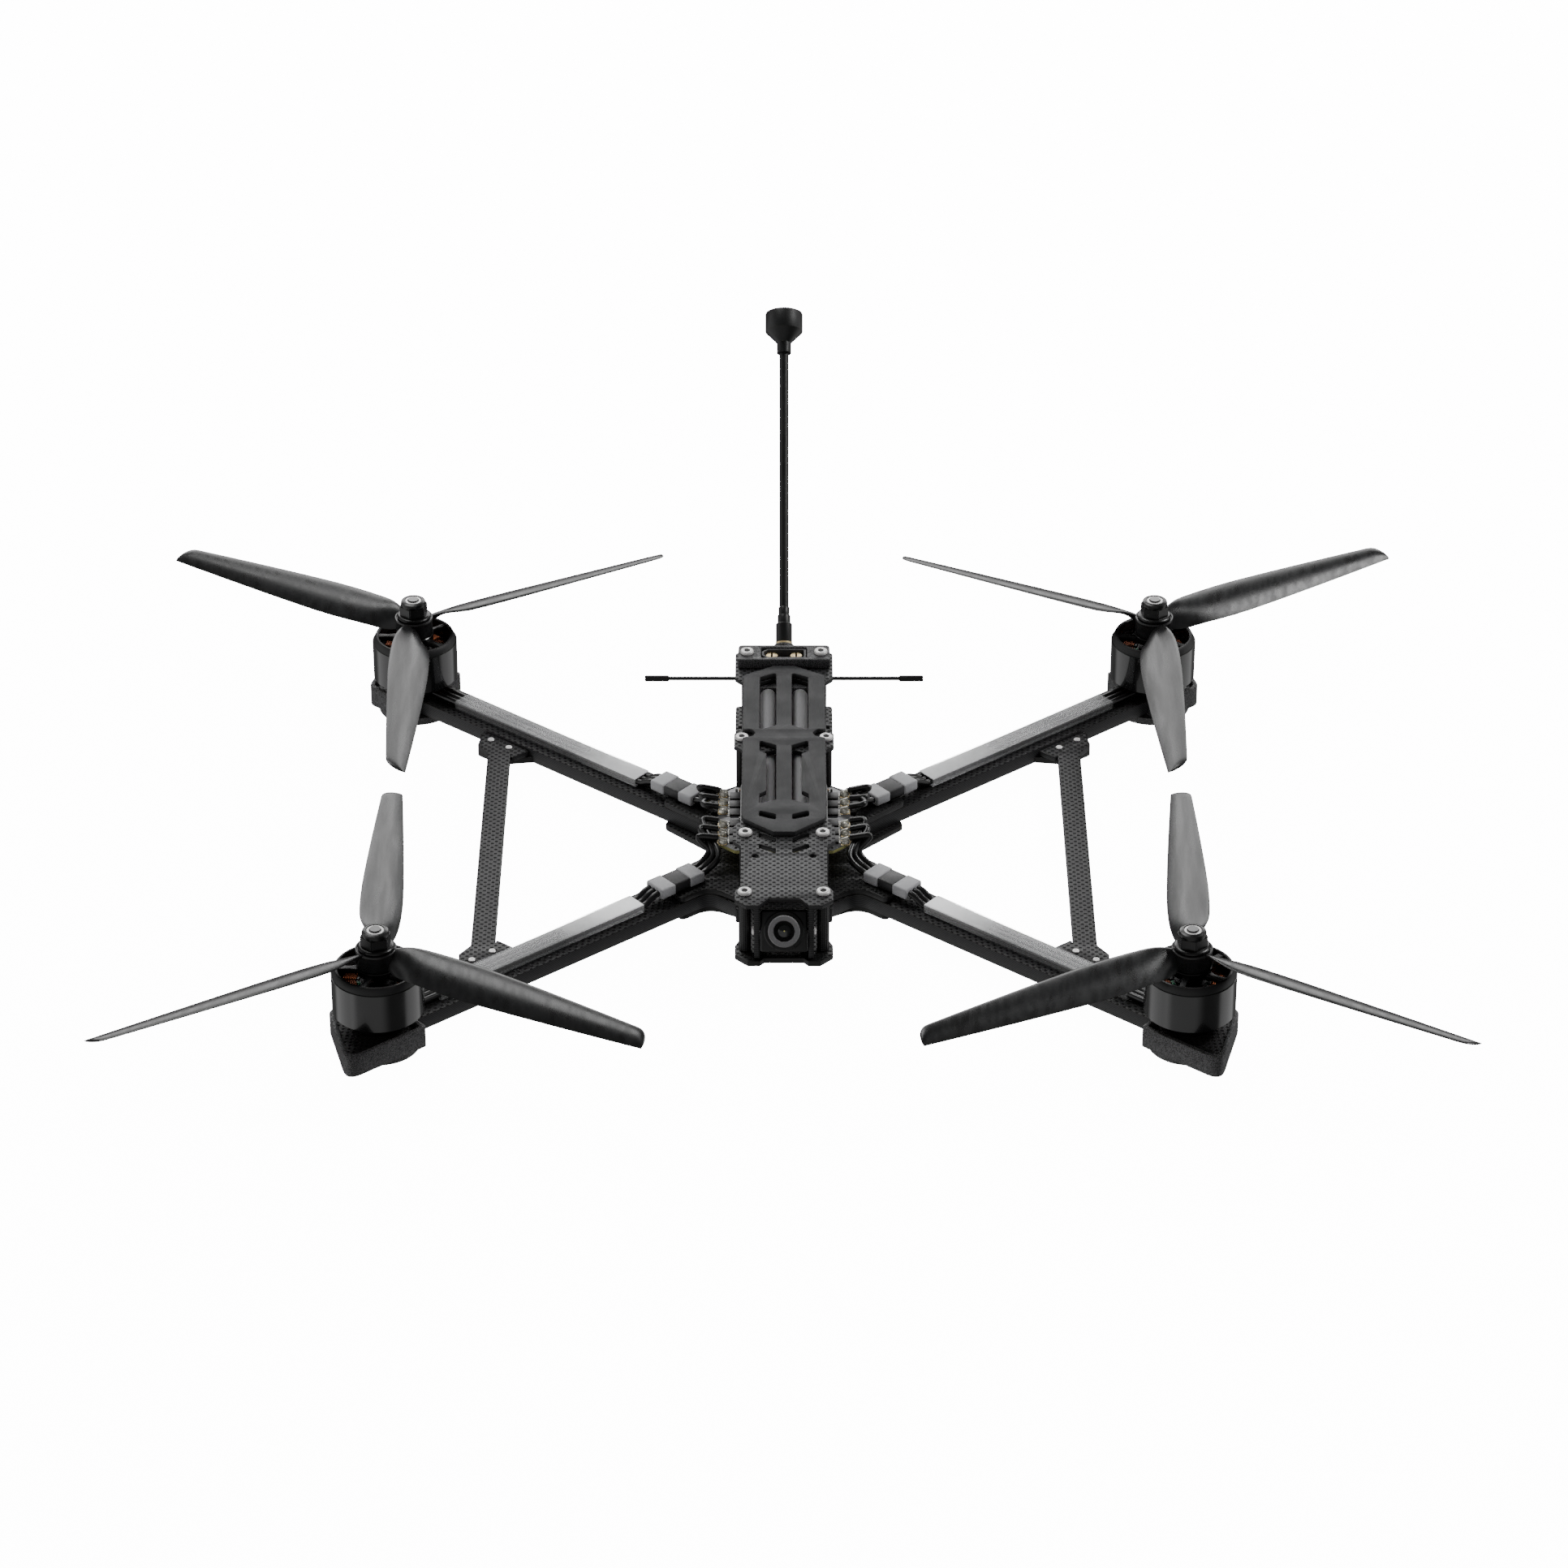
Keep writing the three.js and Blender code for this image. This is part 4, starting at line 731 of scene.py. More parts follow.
class Piece:
    """Collects shapes in millimetres, each with its material, and makes one object of them."""

    def __init__(self, name):
        self.name = name
        self.verts, self.faces, self.owners, self.materials = [], [], [], []

    def add(self, shape, material):
        verts, faces = shape
        start = len(self.verts)
        if material not in self.materials:
            self.materials.append(material)
        owner = self.materials.index(material)
        self.verts.extend(verts)
        self.faces.extend(tuple(i + start for i in f) for f in faces)
        self.owners.extend([owner] * len(faces))
        return self

    def mesh(self, sharp=32):
        mesh = bpy.data.meshes.new(self.name)
        mesh.from_pydata([(x * MM, y * MM, z * MM) for x, y, z in self.verts], [], self.faces)
        for material in self.materials:
            mesh.materials.append(material)
        mesh.polygons.foreach_set("material_index", self.owners)
        mesh.polygons.foreach_set("use_smooth", [True] * len(self.faces))
        mesh.set_sharp_from_angle(angle=radians(sharp))
        mesh.validate()
        return mesh

    def show(self, slot, node, body="airframe", matrix=None, sharp=32):
        return show(self.name, self.mesh(sharp), body, [node], matrix)


def show(name, mesh, body, replaces, matrix=None):
    """Puts a mesh in the scene, riding on a body and standing for CAD nodes."""
    piece = bpy.data.objects.new(name, mesh)
    bpy.context.scene.collection.objects.link(piece)
    if matrix:
        piece.matrix_world = matrix
    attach(piece, body)
    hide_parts(*replaces)
    return piece


def upright(location, turn=0.0):
    """Place of a piece that was modelled about the Z axis, in metres."""
    return Matrix.Translation(Vector(location) * MM) @ Matrix.Rotation(turn, 4, "Z")


# ------------------------------------------------------------------------------- frame of the aircraft
guard_root, guard_wall = 10.5, 2.0
guard_loop = [
    (arm_reach - guard_root, 18.4), (arm_reach + 30, 18.4), (arm_reach + 13.5, -16.5),
    (arm_reach - guard_root, -16.5),
]


def inset(points, distance):
    """A convex outline whose edges are moved inwards by a distance."""
    count = len(points)
    area = sum(a[0] * b[1] - a[1] * b[0] for a, b in zip(points, points[1:] + points[:1]))
    sign = 1 if area > 0 else -1
    result = []
    for i in range(count):
        here = Vector(points[i])
        a = (here - Vector(points[i - 1])).normalized()
        b = (Vector(points[(i + 1) % count]) - here).normalized()
        normal = Vector((-(a.y + b.y), a.x + b.x)) * sign
        result.append(tuple(here + normal * (2 * distance / normal.length_squared)))
    return result


head_loop = inset(guard_loop, guard_wall + 0.3)
shank_end = arm_reach - guard_root + guard_wall + 0.3
brace_x, brace_half = 125.0, 5.0
brace_screw_t, brace_screw_gap = -13.3, 10.5
brace_mid = (brace_x + brace_screw_t * sin(arm_angle)) / cos(arm_angle)
root_start = (half_arm + 0.3) / sin(arm_angle)
fillet, fillet_at = 14.0, 48.0
root_reach = 52.0
lug_edge = 20.2


def arm_piece(corner):
    sx, sy = CORNERS[corner]
    outline = [
        (0.3, 0.3), (root_start, 0.3),
        across(shank_end, -half_arm),
        *[(*across(*p), r) for p, r in zip(reversed(head_loop), (1.5, 5, 5, 1.5))],
        across(shank_end, half_arm),
        (*across(fillet_at, half_arm), fillet), (nose_half, root_reach - 4, 2),
        (nose_half, root_reach, 1), (0.3, root_reach),
    ]
    lug = [
        across(brace_mid - 16, -half_arm + 2),
        (*across(brace_mid - 16, -half_arm), 2), (*across(brace_mid - 6, -lug_edge), 2),
        (*across(brace_mid + 7, -lug_edge), 2), (*across(brace_mid + 15, -half_arm), 2),
        across(brace_mid + 15, -half_arm + 2),
    ]
    piece = Piece("arm_" + corner + "_laminate")
    shank = rounded(flipped(outline, sx, sy), 0, 8)
    piece.add(plate([shank], arm_low.z, arm_high.z, 0.25), carbon_arm[corner])
    piece.add(plate([rounded(flipped(lug, sx, sy))], arm_low.z, arm_low.z + 2.9, 0.2), carbon_arm[corner])
    piece.show("carbon_arm", "arm_" + corner)


def button_head(radius, height, socket, steps=36):
    """A low domed screw head with a round socket, standing on z = 0."""
    dome = [(radius, 0), (radius, 0.5 * height), (radius * 0.96, 0.72 * height)]
    dome += [(radius * 0.88, 0.88 * height), (radius * 0.72, height)]
    dish = [(socket + 0.45, height), (socket, 0.82 * height), (socket, 0.35 * height)]
    profile = [(0, 0), *dome, *dish, (0, 0.35 * height)]
    return lathe(profile, steps)


def hex_socket(radius, z, depth):
    """A black six-sided plug in a socket: painted shade for the socket's hollow."""
    work = bmesh.new()
    bmesh.ops.create_cone(work, cap_ends=True, segments=6, radius1=radius, radius2=radius, depth=depth)
    return shape_of(work, Matrix.Translation((0, 0, z + depth / 2)))


def brace_piece(name, sx):
    low, high = span("side_brace_" + name)
    level = high.z - 0.5
    mid_y = across(brace_mid, brace_screw_t)[1]
    rear = [
        (brace_x - brace_half, mid_y - 9, 3), (*across(brace_mid - 12, -lug_edge + 1), 2),
        (*across(brace_mid - 14, -half_arm - 0.3), 1),
        (*across(brace_mid + 13, -half_arm - 0.3), 1), (*across(brace_mid + 7, -lug_edge), 2),
        (brace_x + brace_half, mid_y - 8, 3),
    ]
    loop = rear + [(p[0], -p[1], *p[2:]) for p in reversed(rear)]
    pair = [across(brace_mid + k * brace_screw_gap / 2, brace_screw_t) for k in (-1, 1)]
    screws = [(sx * x, sy * y) for sy in (-1, 1) for x, y in pair]
    piece = Piece("side_brace_" + name + "_laminate")
    piece.add(plate([rounded(flipped(loop, sx))], low.z, level, 0.2), carbon_brace)
    head = lathe([(0, -0.2), (1.5, -0.2), (1.5, 0.3), (1.3, 0.48), (0.6, 0.5), (0.5, 0.4), (0, 0.4)], 28)
    for x, y in screws:
        piece.add(shifted(head, x, y, level), steel)
    piece.show("carbon_plate", "side_brace_" + name)


def lower_plates():
    quarter = [
        (*across(57, -12), 3), (*across(63.5, half_arm - 0.7), 3),
        (*across(fillet_at, half_arm - 0.7), fillet), (body_half, 45, 2), (body_half, 50, 2),
    ]
    loop = [(24, 0, 4), *quarter, *flipped(quarter, -1), (-24, 0, 4)]
    loop += [*flipped(quarter, -1, -1), *flipped(quarter, 1, -1)]
    piece = Piece("bottom_plate_laminate")
    piece.add(plate([rounded(loop, 0, 8)], bottom_low.z, bottom_high.z, 0.2), carbon_mid)
    cap = lathe([(0, -0.1), (2.9, -0.1), (2.9, 0.35), (2.3, 0.75), (1.5, 0.8), (1.3, 0.3), (0, 0.3)], 28)
    for sx, sy in CORNERS.values():
        for s, t in ((17, 4.0), (33, -5), (50, 0)):
            x, y = across(s, t)
            place = Matrix.Translation((sx * x, sy * y, bottom_low.z))
            piece.add(moved(cap, place @ Matrix.Rotation(pi, 4, "X")), nut_black)
    piece.show("carbon_plate", "bottom_plate")

    ear = [(*across(60, -half_arm), 2.5), (*across(64, half_arm), 2.5)]
    ear.append((*across(fillet_at, half_arm), fillet))
    half = [
        (8.2, nose_y + 2.4, 1), (10, nose_y, 1), (15, nose_y, 0.6), (nose_half, nose_y + 5.5, 0.6),
        (nose_half, -84, 2), (nose_half - 1.6, -80, 2), (nose_half - 1.6, 4 - root_reach, 3),
        *flipped(ear, 1, -1), (root_start + 3, 0, 3), *ear, (body_half, root_reach - 6, 2),
        (body_half, tail_step, 1), (shoulder_half, tail_step + 4, 1), (shoulder_half, tail_y, 2),
    ]
    spots = (across(54.5, -5), across(36, -3))
    holes = [circle(sx * x, sy * y, 1.5) for sx, sy in CORNERS.values() for x, y in spots]
    piece = Piece("mid_plate_laminate")
    piece.add(plate([rounded(mirrored(half), 0, 8), *holes], mid_low.z, mid_high.z, 0.2), carbon_mid)
    piece.show("carbon_plate", "mid_plate")


screw_x, ear_screw_x = 16.2, 18.1
screw_stations = {"nose": -86.5, "shoulder": -39.9, "ear": 38.4, "tail": 104.5}
slot_inner, slot_outer = 3.4, 10.5


def slanted_slot(sx, inner, outer, length, radius=0.9):
    loop = [(slot_inner, inner), (slot_outer, outer)]
    loop += [(slot_outer, outer + length), (slot_inner, inner + length)]
    return rounded(flipped(loop, sx), radius, 4)


def top_plate():
    front, ear = screw_stations["shoulder"], screw_stations["ear"]
    half = [
        (6.4, nose_y + 5.6, 1.6), (10.3, nose_y, 0.8), (15.6, nose_y, 0.6),
        (nose_half, nose_y + 4.2, 0.8), (nose_half, screw_stations["nose"] + 1.5, 0.8),
        (body_half, screw_stations["nose"] + 5.5, 1.5), (body_half, front - 10, 1.5),
        (shoulder_half, front - 5.6, 1.2), (shoulder_half, front + 5, 1.2),
        (body_half, front + 11, 1.5), (body_half, ear - 9.5, 1), (shoulder_half, ear - 6.5, 1),
        (shoulder_half, ear + 4, 1), (body_half, ear + 7.5, 1), (body_half, tail_step, 1),
        (shoulder_half, tail_step + 4, 1), (shoulder_half, tail_y, 2),
    ]
    slots = ((-55.6, -51.2, 3.4), (-47.2, -42.8, 4), (-16, -19, 45), (46.6, 42.6, 44))
    holes = []
    for sx in SIDES.values():
        for inner, outer, length in slots:
            holes.append(slanted_slot(sx, inner, outer, length))
        holes.append(circle(sx * 12, -57.5, 1.5))
    piece = Piece("top_plate_laminate")
    piece.add(plate([rounded(mirrored(half)), *holes], top_low.z, top_high.z, 0.22), carbon_top)
    piece.show("carbon_plate", "top_plate")


def standoffs():
    for place, y in screw_stations.items():
        for name, sx in SIDES.items():
            node = f"standoff_{place}_{name}"
            low, high = span(node)
            x = sx * (ear_screw_x if place == "ear" else screw_x)
            head_z = high.z - 1.4
            barrel_top = top_low.z - 0.15
            radius = 2.55
            body = [(0, low.z), (radius - 0.3, low.z), (radius, low.z + 0.3)]
            body += [(radius, barrel_top - 0.3), (radius - 0.3, barrel_top), (0, barrel_top)]
            piece = Piece(node + "_screw")
            piece.add(lathe(body, 32), standoff_black)
            shank = [(0, barrel_top - 1), (1.4, barrel_top - 1), (1.4, head_z + 0.2), (0, head_z + 0.2)]
            piece.add(lathe(shank, 16), steel)
            piece.add(shifted(button_head(2.95, 1.4, 1.3), 0, 0, head_z), steel)
            # painted shade in the screw's socket
            piece.add(hex_socket(1.3, head_z + 0.4, 0.75), socket_shade)
            piece.show("spacer_metal", node, matrix=upright((x, y, 0)))


def guard_piece(corner):
    sx, sy = CORNERS[corner]
    high = span("motor_guard_" + corner)[1]
    foot_height = 3.7
    floor_top = foot_height + 1.0
    outer = [(*across(*p), r) for p, r in zip(guard_loop, (1.5, 5, 5, 1.5))]
    slot = half_arm + 0.3
    inner = inset(guard_loop, guard_wall)
    s0 = arm_reach - guard_root
    wall = [
        across(s0, slot),
        (*across(*guard_loop[0]), 1.5), (*across(*guard_loop[1]), 5), (*across(*guard_loop[2]), 5),
        (*across(*guard_loop[3]), 1.5),
        across(s0, -slot),
        across(s0 + guard_wall, -slot),
        (*across(*inner[3]), 1), (*across(*inner[2]), 3.6), (*across(*inner[1]), 3.6),
        (*across(*inner[0]), 1),
        across(s0 + guard_wall, slot),
    ]
    piece = Piece("motor_guard_" + corner + "_print")
    piece.add(plate([rounded(flipped(outer, sx, sy))], foot_height, floor_top, 0.3), polymer)
    piece.add(plate([rounded(flipped(wall, sx, sy))], foot_height + 0.35, high.z, 0.35), polymer)
    centre = motor_axis[corner]
    foot = [(0, 0), (15.8, 0), (16.6, 0.25), (17, 0.9), (17, foot_height + 0.2), (0, foot_height + 0.2)]
    piece.add(shifted(lathe(foot, 64), centre.x, centre.y), polymer)
    piece.show("printed_part", "motor_guard_" + corner)


# ------------------------------------------------------------------------------- motors and propellers
bell_high = span("motor_bell_front_left")[1]
prop_low = span("propeller_front_left")[0]
nut_low, nut_high = span("prop_nut_front_left")
bell_radius = 18.75
bell_bottom = arm_high.z + 6.0
bell_top = bell_bottom + 20.4
core_bottom, core_top = bell_bottom + 2, bell_top - 6
spoke_count = 5
blade_radius = 126.9
tooth_count = 12
magnet_count = 14


def stator_mesh():
    piece = Piece("stator")
    base = arm_high.z + 0.15
    profile = lifted([(0, 0), (12.0, 0), (12.2, 0.4), (12.2, 3), (11.6, 3.6), (9, 6)], base)
    profile += [(6.5, core_bottom), (6.5, core_top), (4.6, core_top + 0.6)]
    profile += lifted([(4.6, 0), (0, 0)], bell_top - 3.7)
    piece.add(lathe(profile, 40), rim_black)
    for i in range(4):
        around = Matrix.Rotation(pi / 4 + i * pi / 2, 4, "Z")
        screw = shifted(button_head(1.7, 0.9, 0.8, 20), 10.2, 0, base + 3.3)
        piece.add(moved(screw, around), steel)
    stack = []
    for i in range(tooth_count):
        turn = 2 * pi * i / tooth_count
        half = pi / tooth_count
        for radius, angle in ((15.6, -half * 0.82), (15.6, 0), (15.6, half * 0.82), (14.4, half * 0.72)):
            stack.append((radius * cos(turn + angle), radius * sin(turn + angle)))
        stack.append((8.0 * cos(turn + half), 8.0 * sin(turn + half)))
        after = turn + 2 * half
        stack.append((14.4 * cos(after - half * 0.72), 14.4 * sin(after - half * 0.72)))
    piece.add(plate([stack], core_bottom + 1, core_top - 1.2, 0.1), core_black)
    for i in range(tooth_count):
        turn = share_turn(i, tooth_count)
        coil = block(8.2, 14.2, -2.9, 2.9, core_bottom + 0.1, core_top - 0.2, 1.2, 3)
        piece.add(moved(coil, turn), copper)
        wedge = block(7.0, 8.4, -1.3, 1.3, core_top - 1.4, core_top - 0.6, 0.3)
        piece.add(moved(wedge, turn), resin_green if i % 3 == 0 else core_black)
    return piece.mesh()


def bell_mesh():
    piece = Piece("bell")
    wall_top = bell_bottom + 17.4
    inner = bell_radius - 1.6
    shell = [
        (inner, bell_bottom), (bell_radius - 0.25, bell_bottom), (bell_radius, bell_bottom + 0.25),
        (bell_radius, wall_top - 0.15), (bell_radius - 0.12, wall_top), (inner, wall_top),
    ]
    piece.add(lathe(shell, 96), gloss_black)
    rim = [
        (inner - 0.4, wall_top - 2.2), (inner + 0.2, wall_top + 0.01),
        (bell_radius - 0.35, wall_top + 0.01), (bell_radius - 0.35, wall_top + 0.35),
        (bell_radius - 1.45, bell_top - 0.25), (bell_radius - 1.75, bell_top),
        (inner - 0.9, bell_top), (inner - 1.3, bell_top - 0.4), (inner - 1.3, wall_top - 1.6),
    ]
    piece.add(lathe(rim, 96), rim_black)
    hub = [
        (0, bell_top - 3.4), (6.2, bell_top - 3.4), (8.4, bell_top - 2.2), (8.4, bell_top + 0.45),
        (8.15, bell_top + 0.7), (2.5, bell_top + 0.7), (2.5, bell_high.z - 0.4), (2.2, bell_high.z),
        (0, bell_high.z),
    ]
    piece.add(lathe(hub, 48), gloss_black)
    for i in range(spoke_count):
        outline = [(7.0, -2.0, 0.6), (7.0, 2.0, 0.6), (11.0, 1.0, 2)]
        outline += [(inner - 0.6, 1.5, 0.8), (inner - 0.6, -1.5, 0.8), (11.0, -1.0, 2)]
        spoke = plate([rounded(outline)], bell_top - 3.1, bell_top - 0.6, 0.3)
        piece.add(moved(spoke, share_turn(i + 0.5, spoke_count)), rim_black)
    for i in range(magnet_count):
        magnet = block(inner - 1.1, inner - 0.05, -3.1, 3.1, bell_bottom + 1.2, wall_top - 2.6, 0.25)
        piece.add(moved(magnet, share_turn(i, magnet_count)), magnet_grey)
    return piece.mesh()


def blade_edges(radius):
    """Leading and trailing edge of a blade at a radius, as (offset, height) pairs."""
    share = radius / blade_radius
    grow = 1 - exp(-(((radius + 4) / 14.0) ** 1.5))
    taper = 1 - 0.52 * max(0.0, (share - 0.33) / 0.67) ** 1.25
    chord = 18.4 * grow * taper
    sweep = 0.15 + 0.9 * max(0.0, share - 0.3)
    pitch = radians(20.8 + 27 * exp(-(((radius - 7) / 9.5) ** 2)))
    full = chord * cos(pitch)
    lead, trail = sweep + 0.5 * full, sweep - 0.5 * full
    tip = max(0.0, (radius - 120) / (blade_radius + 0.15 - 120))
    lead = trail + (lead - trail) * (1 - tip**2.6) ** 0.5
    level = 44.0 - 0.9 * share - 1.0 * exp(-(((radius - 5) / 9.0) ** 2))
    half_rise = 0.5 * chord * sin(pitch)
    lead_z = level + half_rise * (2 * (lead - trail) / full - 1)
    return (lead, lead_z), (trail, level - half_rise)


def blade_mesh_parts(spin):
    """One blade along +X, lofted from cambered sections."""
    stations = [3.5, 6, 8, 10, 12, 14.5, 17, 20, 24, 30, 38, 47, 57, 67, 77, 87, 96, 104, 111]
    stations += [116, 120, 122, 123.5, 124.7, 125.6, 126.2, 126.6, blade_radius]
    around = 22
    verts, faces = [], []
    for radius in stations:
        (lead, lead_z), (trail, trail_z) = blade_edges(radius)
        chord = hypot(lead - trail, lead_z - trail_z)
        along = Vector((lead - trail, lead_z - trail_z)).normalized()
        up = Vector((-along.y, along.x))
        thick = (0.085 + 0.16 * exp(-radius / 16.0)) * chord + 0.35
        for k in range(around):
            angle = 2 * pi * k / around
            c = 0.5 + 0.5 * cos(angle)  # 1 at the leading edge
            profile = 2.6 * (sqrt(max(0.0, 1 - c)) * (c**0.85)) * 0.5
            camber = 0.055 * chord * sin(pi * c) ** 1.2 if 0 < c < 1 else 0
            height = camber + (thick * profile if sin(angle) >= 0 else -thick * profile * 0.55)
            if abs(sin(angle)) < 1e-6:
                height = 0
            spot = Vector((trail, trail_z)) + along * (c * chord) + up * height
            verts.append((radius, spin * spot.x, spot.y))
    rows = len(stations)
    for r in range(rows - 1):
        for k in range(around):
            a, b = r * around + k, r * around + (k + 1) % around
            face = (a, b, b + around, a + around)
            faces.append(face if spin > 0 else tuple(reversed(face)))
    cap = tuple(range((rows - 1) * around, rows * around))
    root = tuple(reversed(range(around)))
    if spin < 0:
        cap, root = tuple(reversed(cap)), tuple(reversed(root))
    faces += [cap, root]
    work = bmesh.new()
    made = [work.verts.new(v) for v in verts]
    for f in faces:
        work.faces.new([made[i] for i in f])
    bmesh.ops.recalc_face_normals(work, faces=work.faces)
    return shape_of(work)


def propeller_mesh(spin):
    piece = Piece("propeller")
    z0, z1 = prop_low.z, prop_low.z + 8.0
    hub = [
        (0, z0), (7.6, z0), (8.2, z0 + 0.5), (8.2, z1 - 1.2), (8.5, z1 - 0.8), (8.5, z1 - 0.25),
        (8.3, z1), (7.8, z1), (7.6, z1 - 0.35), (0, z1 - 0.35),
    ]
    piece.add(lathe(hub, 56), blade_nylon)
    for i in range(3):
        turn = share_turn(i, 3)
        piece.add(moved(blade_mesh_parts(spin), turn), blade_nylon)
    return piece.mesh(50)


def nut_mesh():
    piece = Piece("nut")
    z0, z1 = nut_low.z, nut_high.z
    flange = [(0, 0), (7.2, 0), (7.4, 0.2), (7.4, 0.9), (7.0, 1.3), (6.2, 1.5), (0, 1.5)]
    piece.add(lathe(lifted(flange, z0), 48), nut_black)
    work = bmesh.new()
    bmesh.ops.create_cone(work, cap_ends=True, segments=6, radius1=6.45, radius2=6.45, depth=4.9)
    bmesh.ops.bevel(work, geom=work.edges[:], offset=0.35, segments=2, affect="EDGES")
    piece.add(shape_of(work, Matrix.Translation((0, 0, z0 + 3.75))), nut_black)
    neck = z0 + 6.1
    cap = [(0, neck - 0.4), (5.5, neck - 0.4), (5.6, neck + 0.1), (5.6, neck + 0.9), (5.3, neck + 1.7)]
    cap += [(4.7, z1 - 0.25), (4.1, z1), (3.75, z1 - 0.05), (3.6, z1 - 0.4), (0, z1 - 0.4)]
    piece.add(lathe(cap, 56), nut_black)
    disc = [(2.45, -0.6), (3.55, -0.6), (3.55, -0.3), (3.4, -0.2), (2.6, -0.2), (2.45, -0.3)]
    piece.add(lathe(lifted(disc, z1), 56), steel)
    inner = [(1.0, -0.6), (2.15, -0.6), (2.15, -0.3), (2.0, -0.2), (1.1, -0.2), (1.0, -0.3)]
    piece.add(lathe(lifted(inner, z1), 40), steel)
    # painted shade in the nut's socket
    piece.add(hex_socket(1.05, z1 - 0.65, 0.3), socket_shade)
    return piece.mesh()


def motors():
    stator, bell, nut = stator_mesh(), bell_mesh(), nut_mesh()
    propellers = {spin: propeller_mesh(spin) for spin in (1, -1)}
    first_blade = {"front_left": 90, "front_right": 89, "rear_left": -90, "rear_right": -89}
    for corner, (sx, sy) in CORNERS.items():
        spin = sx * sy
        x, y, _ = motor_axis[corner]
        rotor = "rotor_" + corner
        blade_turn = radians(first_blade[corner])
        for name, node, mesh, body, slot, turn in (
            ("stator_", "motor_stator_", stator, "airframe", "motor_core", 0.3),
            ("bell_", "motor_bell_", bell, rotor, "motor_can", 0.0),
            ("blades_", "propeller_", propellers[spin], rotor, "prop_blade", blade_turn),
            ("nut_", "prop_nut_", nut, rotor, "nut_black", 0.2 * sx),
        ):
            show(name + corner, mesh, body, [node + corner], upright((x, y, 0), turn))


# ------------------------------------------------------------------------------- electronics
esc_high = span("esc_board")[1]
esc_top = mid_high.z + 10.3
pad_first, pad_pitch = 5.6, 6.9
pad_x = esc_high.x - 2.1
wire_radius = 1.35


stack_pitch = 30.5
stack_screws = [(sx * stack_pitch / 2, sy * stack_pitch / 2) for sx in (-1, 1) for sy in (-1, 1)]


def tiny_part(luck, x, y, level, upright_share, tones):
    """A small component that lies along X or along Y, with its tone."""
    long, wide = (0.5, 0.28) if luck.random() < upright_share else (0.28, 0.5)
    return patch(x, y, long, wide, level - 0.02, level + 0.35), luck.choice(tones)


def esc_corner(piece, sx, sy):
    """The solder pads, switches, capacitors and white marks of one motor."""
    low = esc_top - 0.02
    for i in range(3):
        x, y = sx * pad_x, sy * (pad_first + i * pad_pitch)
        piece.add(patch(x, y, 2.0, 2.2, low, esc_top + 0.08, 0.05), gold)
        piece.add(drop(x - sx * 0.2, y, esc_top + 0.2, 2.0, 1.9, i + 10 * sx + 100 * sy), solder)
    for i in range(3):
        x, y = sx * 20.6, sy * (4.5 + i * 6.6)
        piece.add(patch(x, y, 2.6, 2.6, esc_top - 0.05, esc_top + 0.95, 0.15), chip)
        for k in range(4):
            leg = y - 1.9 + k * 1.27
            piece.add(patch(x + sx * 2.85, leg, 0.35, 0.2, low, esc_top + 0.18, 0.04), solder)
    for i in range(5):
        tone = chip_tan if i % 2 else chip
        piece.add(patch(sx * (14.4 + 1.5 * i), sy * 23.2, 0.45, 0.8, low, esc_top + 0.5, 0.08), tone)
    for i in range(4):
        piece.add(patch(sx * 23.9, sy * (2.6 + i * 1.3), 0.35, 0.35, low, esc_top + 0.05, 0.02), mark_white)


def esc_piece():
    half_x, half_y, thickness = esc_high.x, esc_high.y, 1.6
    cut = 7.5
    side = half_y - cut * 0.85
    half = [(half_x - cut, -half_y), (half_x, -side), (half_x, side), (half_x - cut, half_y)]
    loop = rounded(mirrored(half), 0.5)
    piece = Piece("speed_controller_board")
    piece.add(plate([loop], esc_top - thickness, esc_top - 0.12, 0.05), board_edge)
    piece.add(plate([loop], esc_top - 0.13, esc_top, 0.03), mask_dark)
    for sx, sy in CORNERS.values():
        esc_corner(piece, sx, sy)
    luck = random.Random(11)
    for _ in range(46):
        x, y = luck.uniform(-24, 24), luck.uniform(-22, 22)
        piece.add(*tiny_part(luck, x, y, esc_top, 0.6, [chip_tan, chip, solder, mark_white]))
    bed = mid_high.z + 0.15
    spacer = lifted([(0, 0), (2.6, 0), (2.9, 1.85), (2.2, 4.25)], bed)
    spacer += lifted([(2.9, -3), (2.6, -1.5), (0, -1.5)], esc_top)
    grommet = [(0, 0), (2.4, 0), (2.6, 1), (1.9, 2.4), (2.6, 3.8), (2.4, 4.7), (0, 4.7)]
    for x, y in stack_screws:
        piece.add(shifted(lathe(spacer, 24), x, y), jacket)
        piece.add(shifted(lathe(lifted(grommet, esc_top), 24), x, y), jacket)
    piece.show("circuit_board", "esc_board")


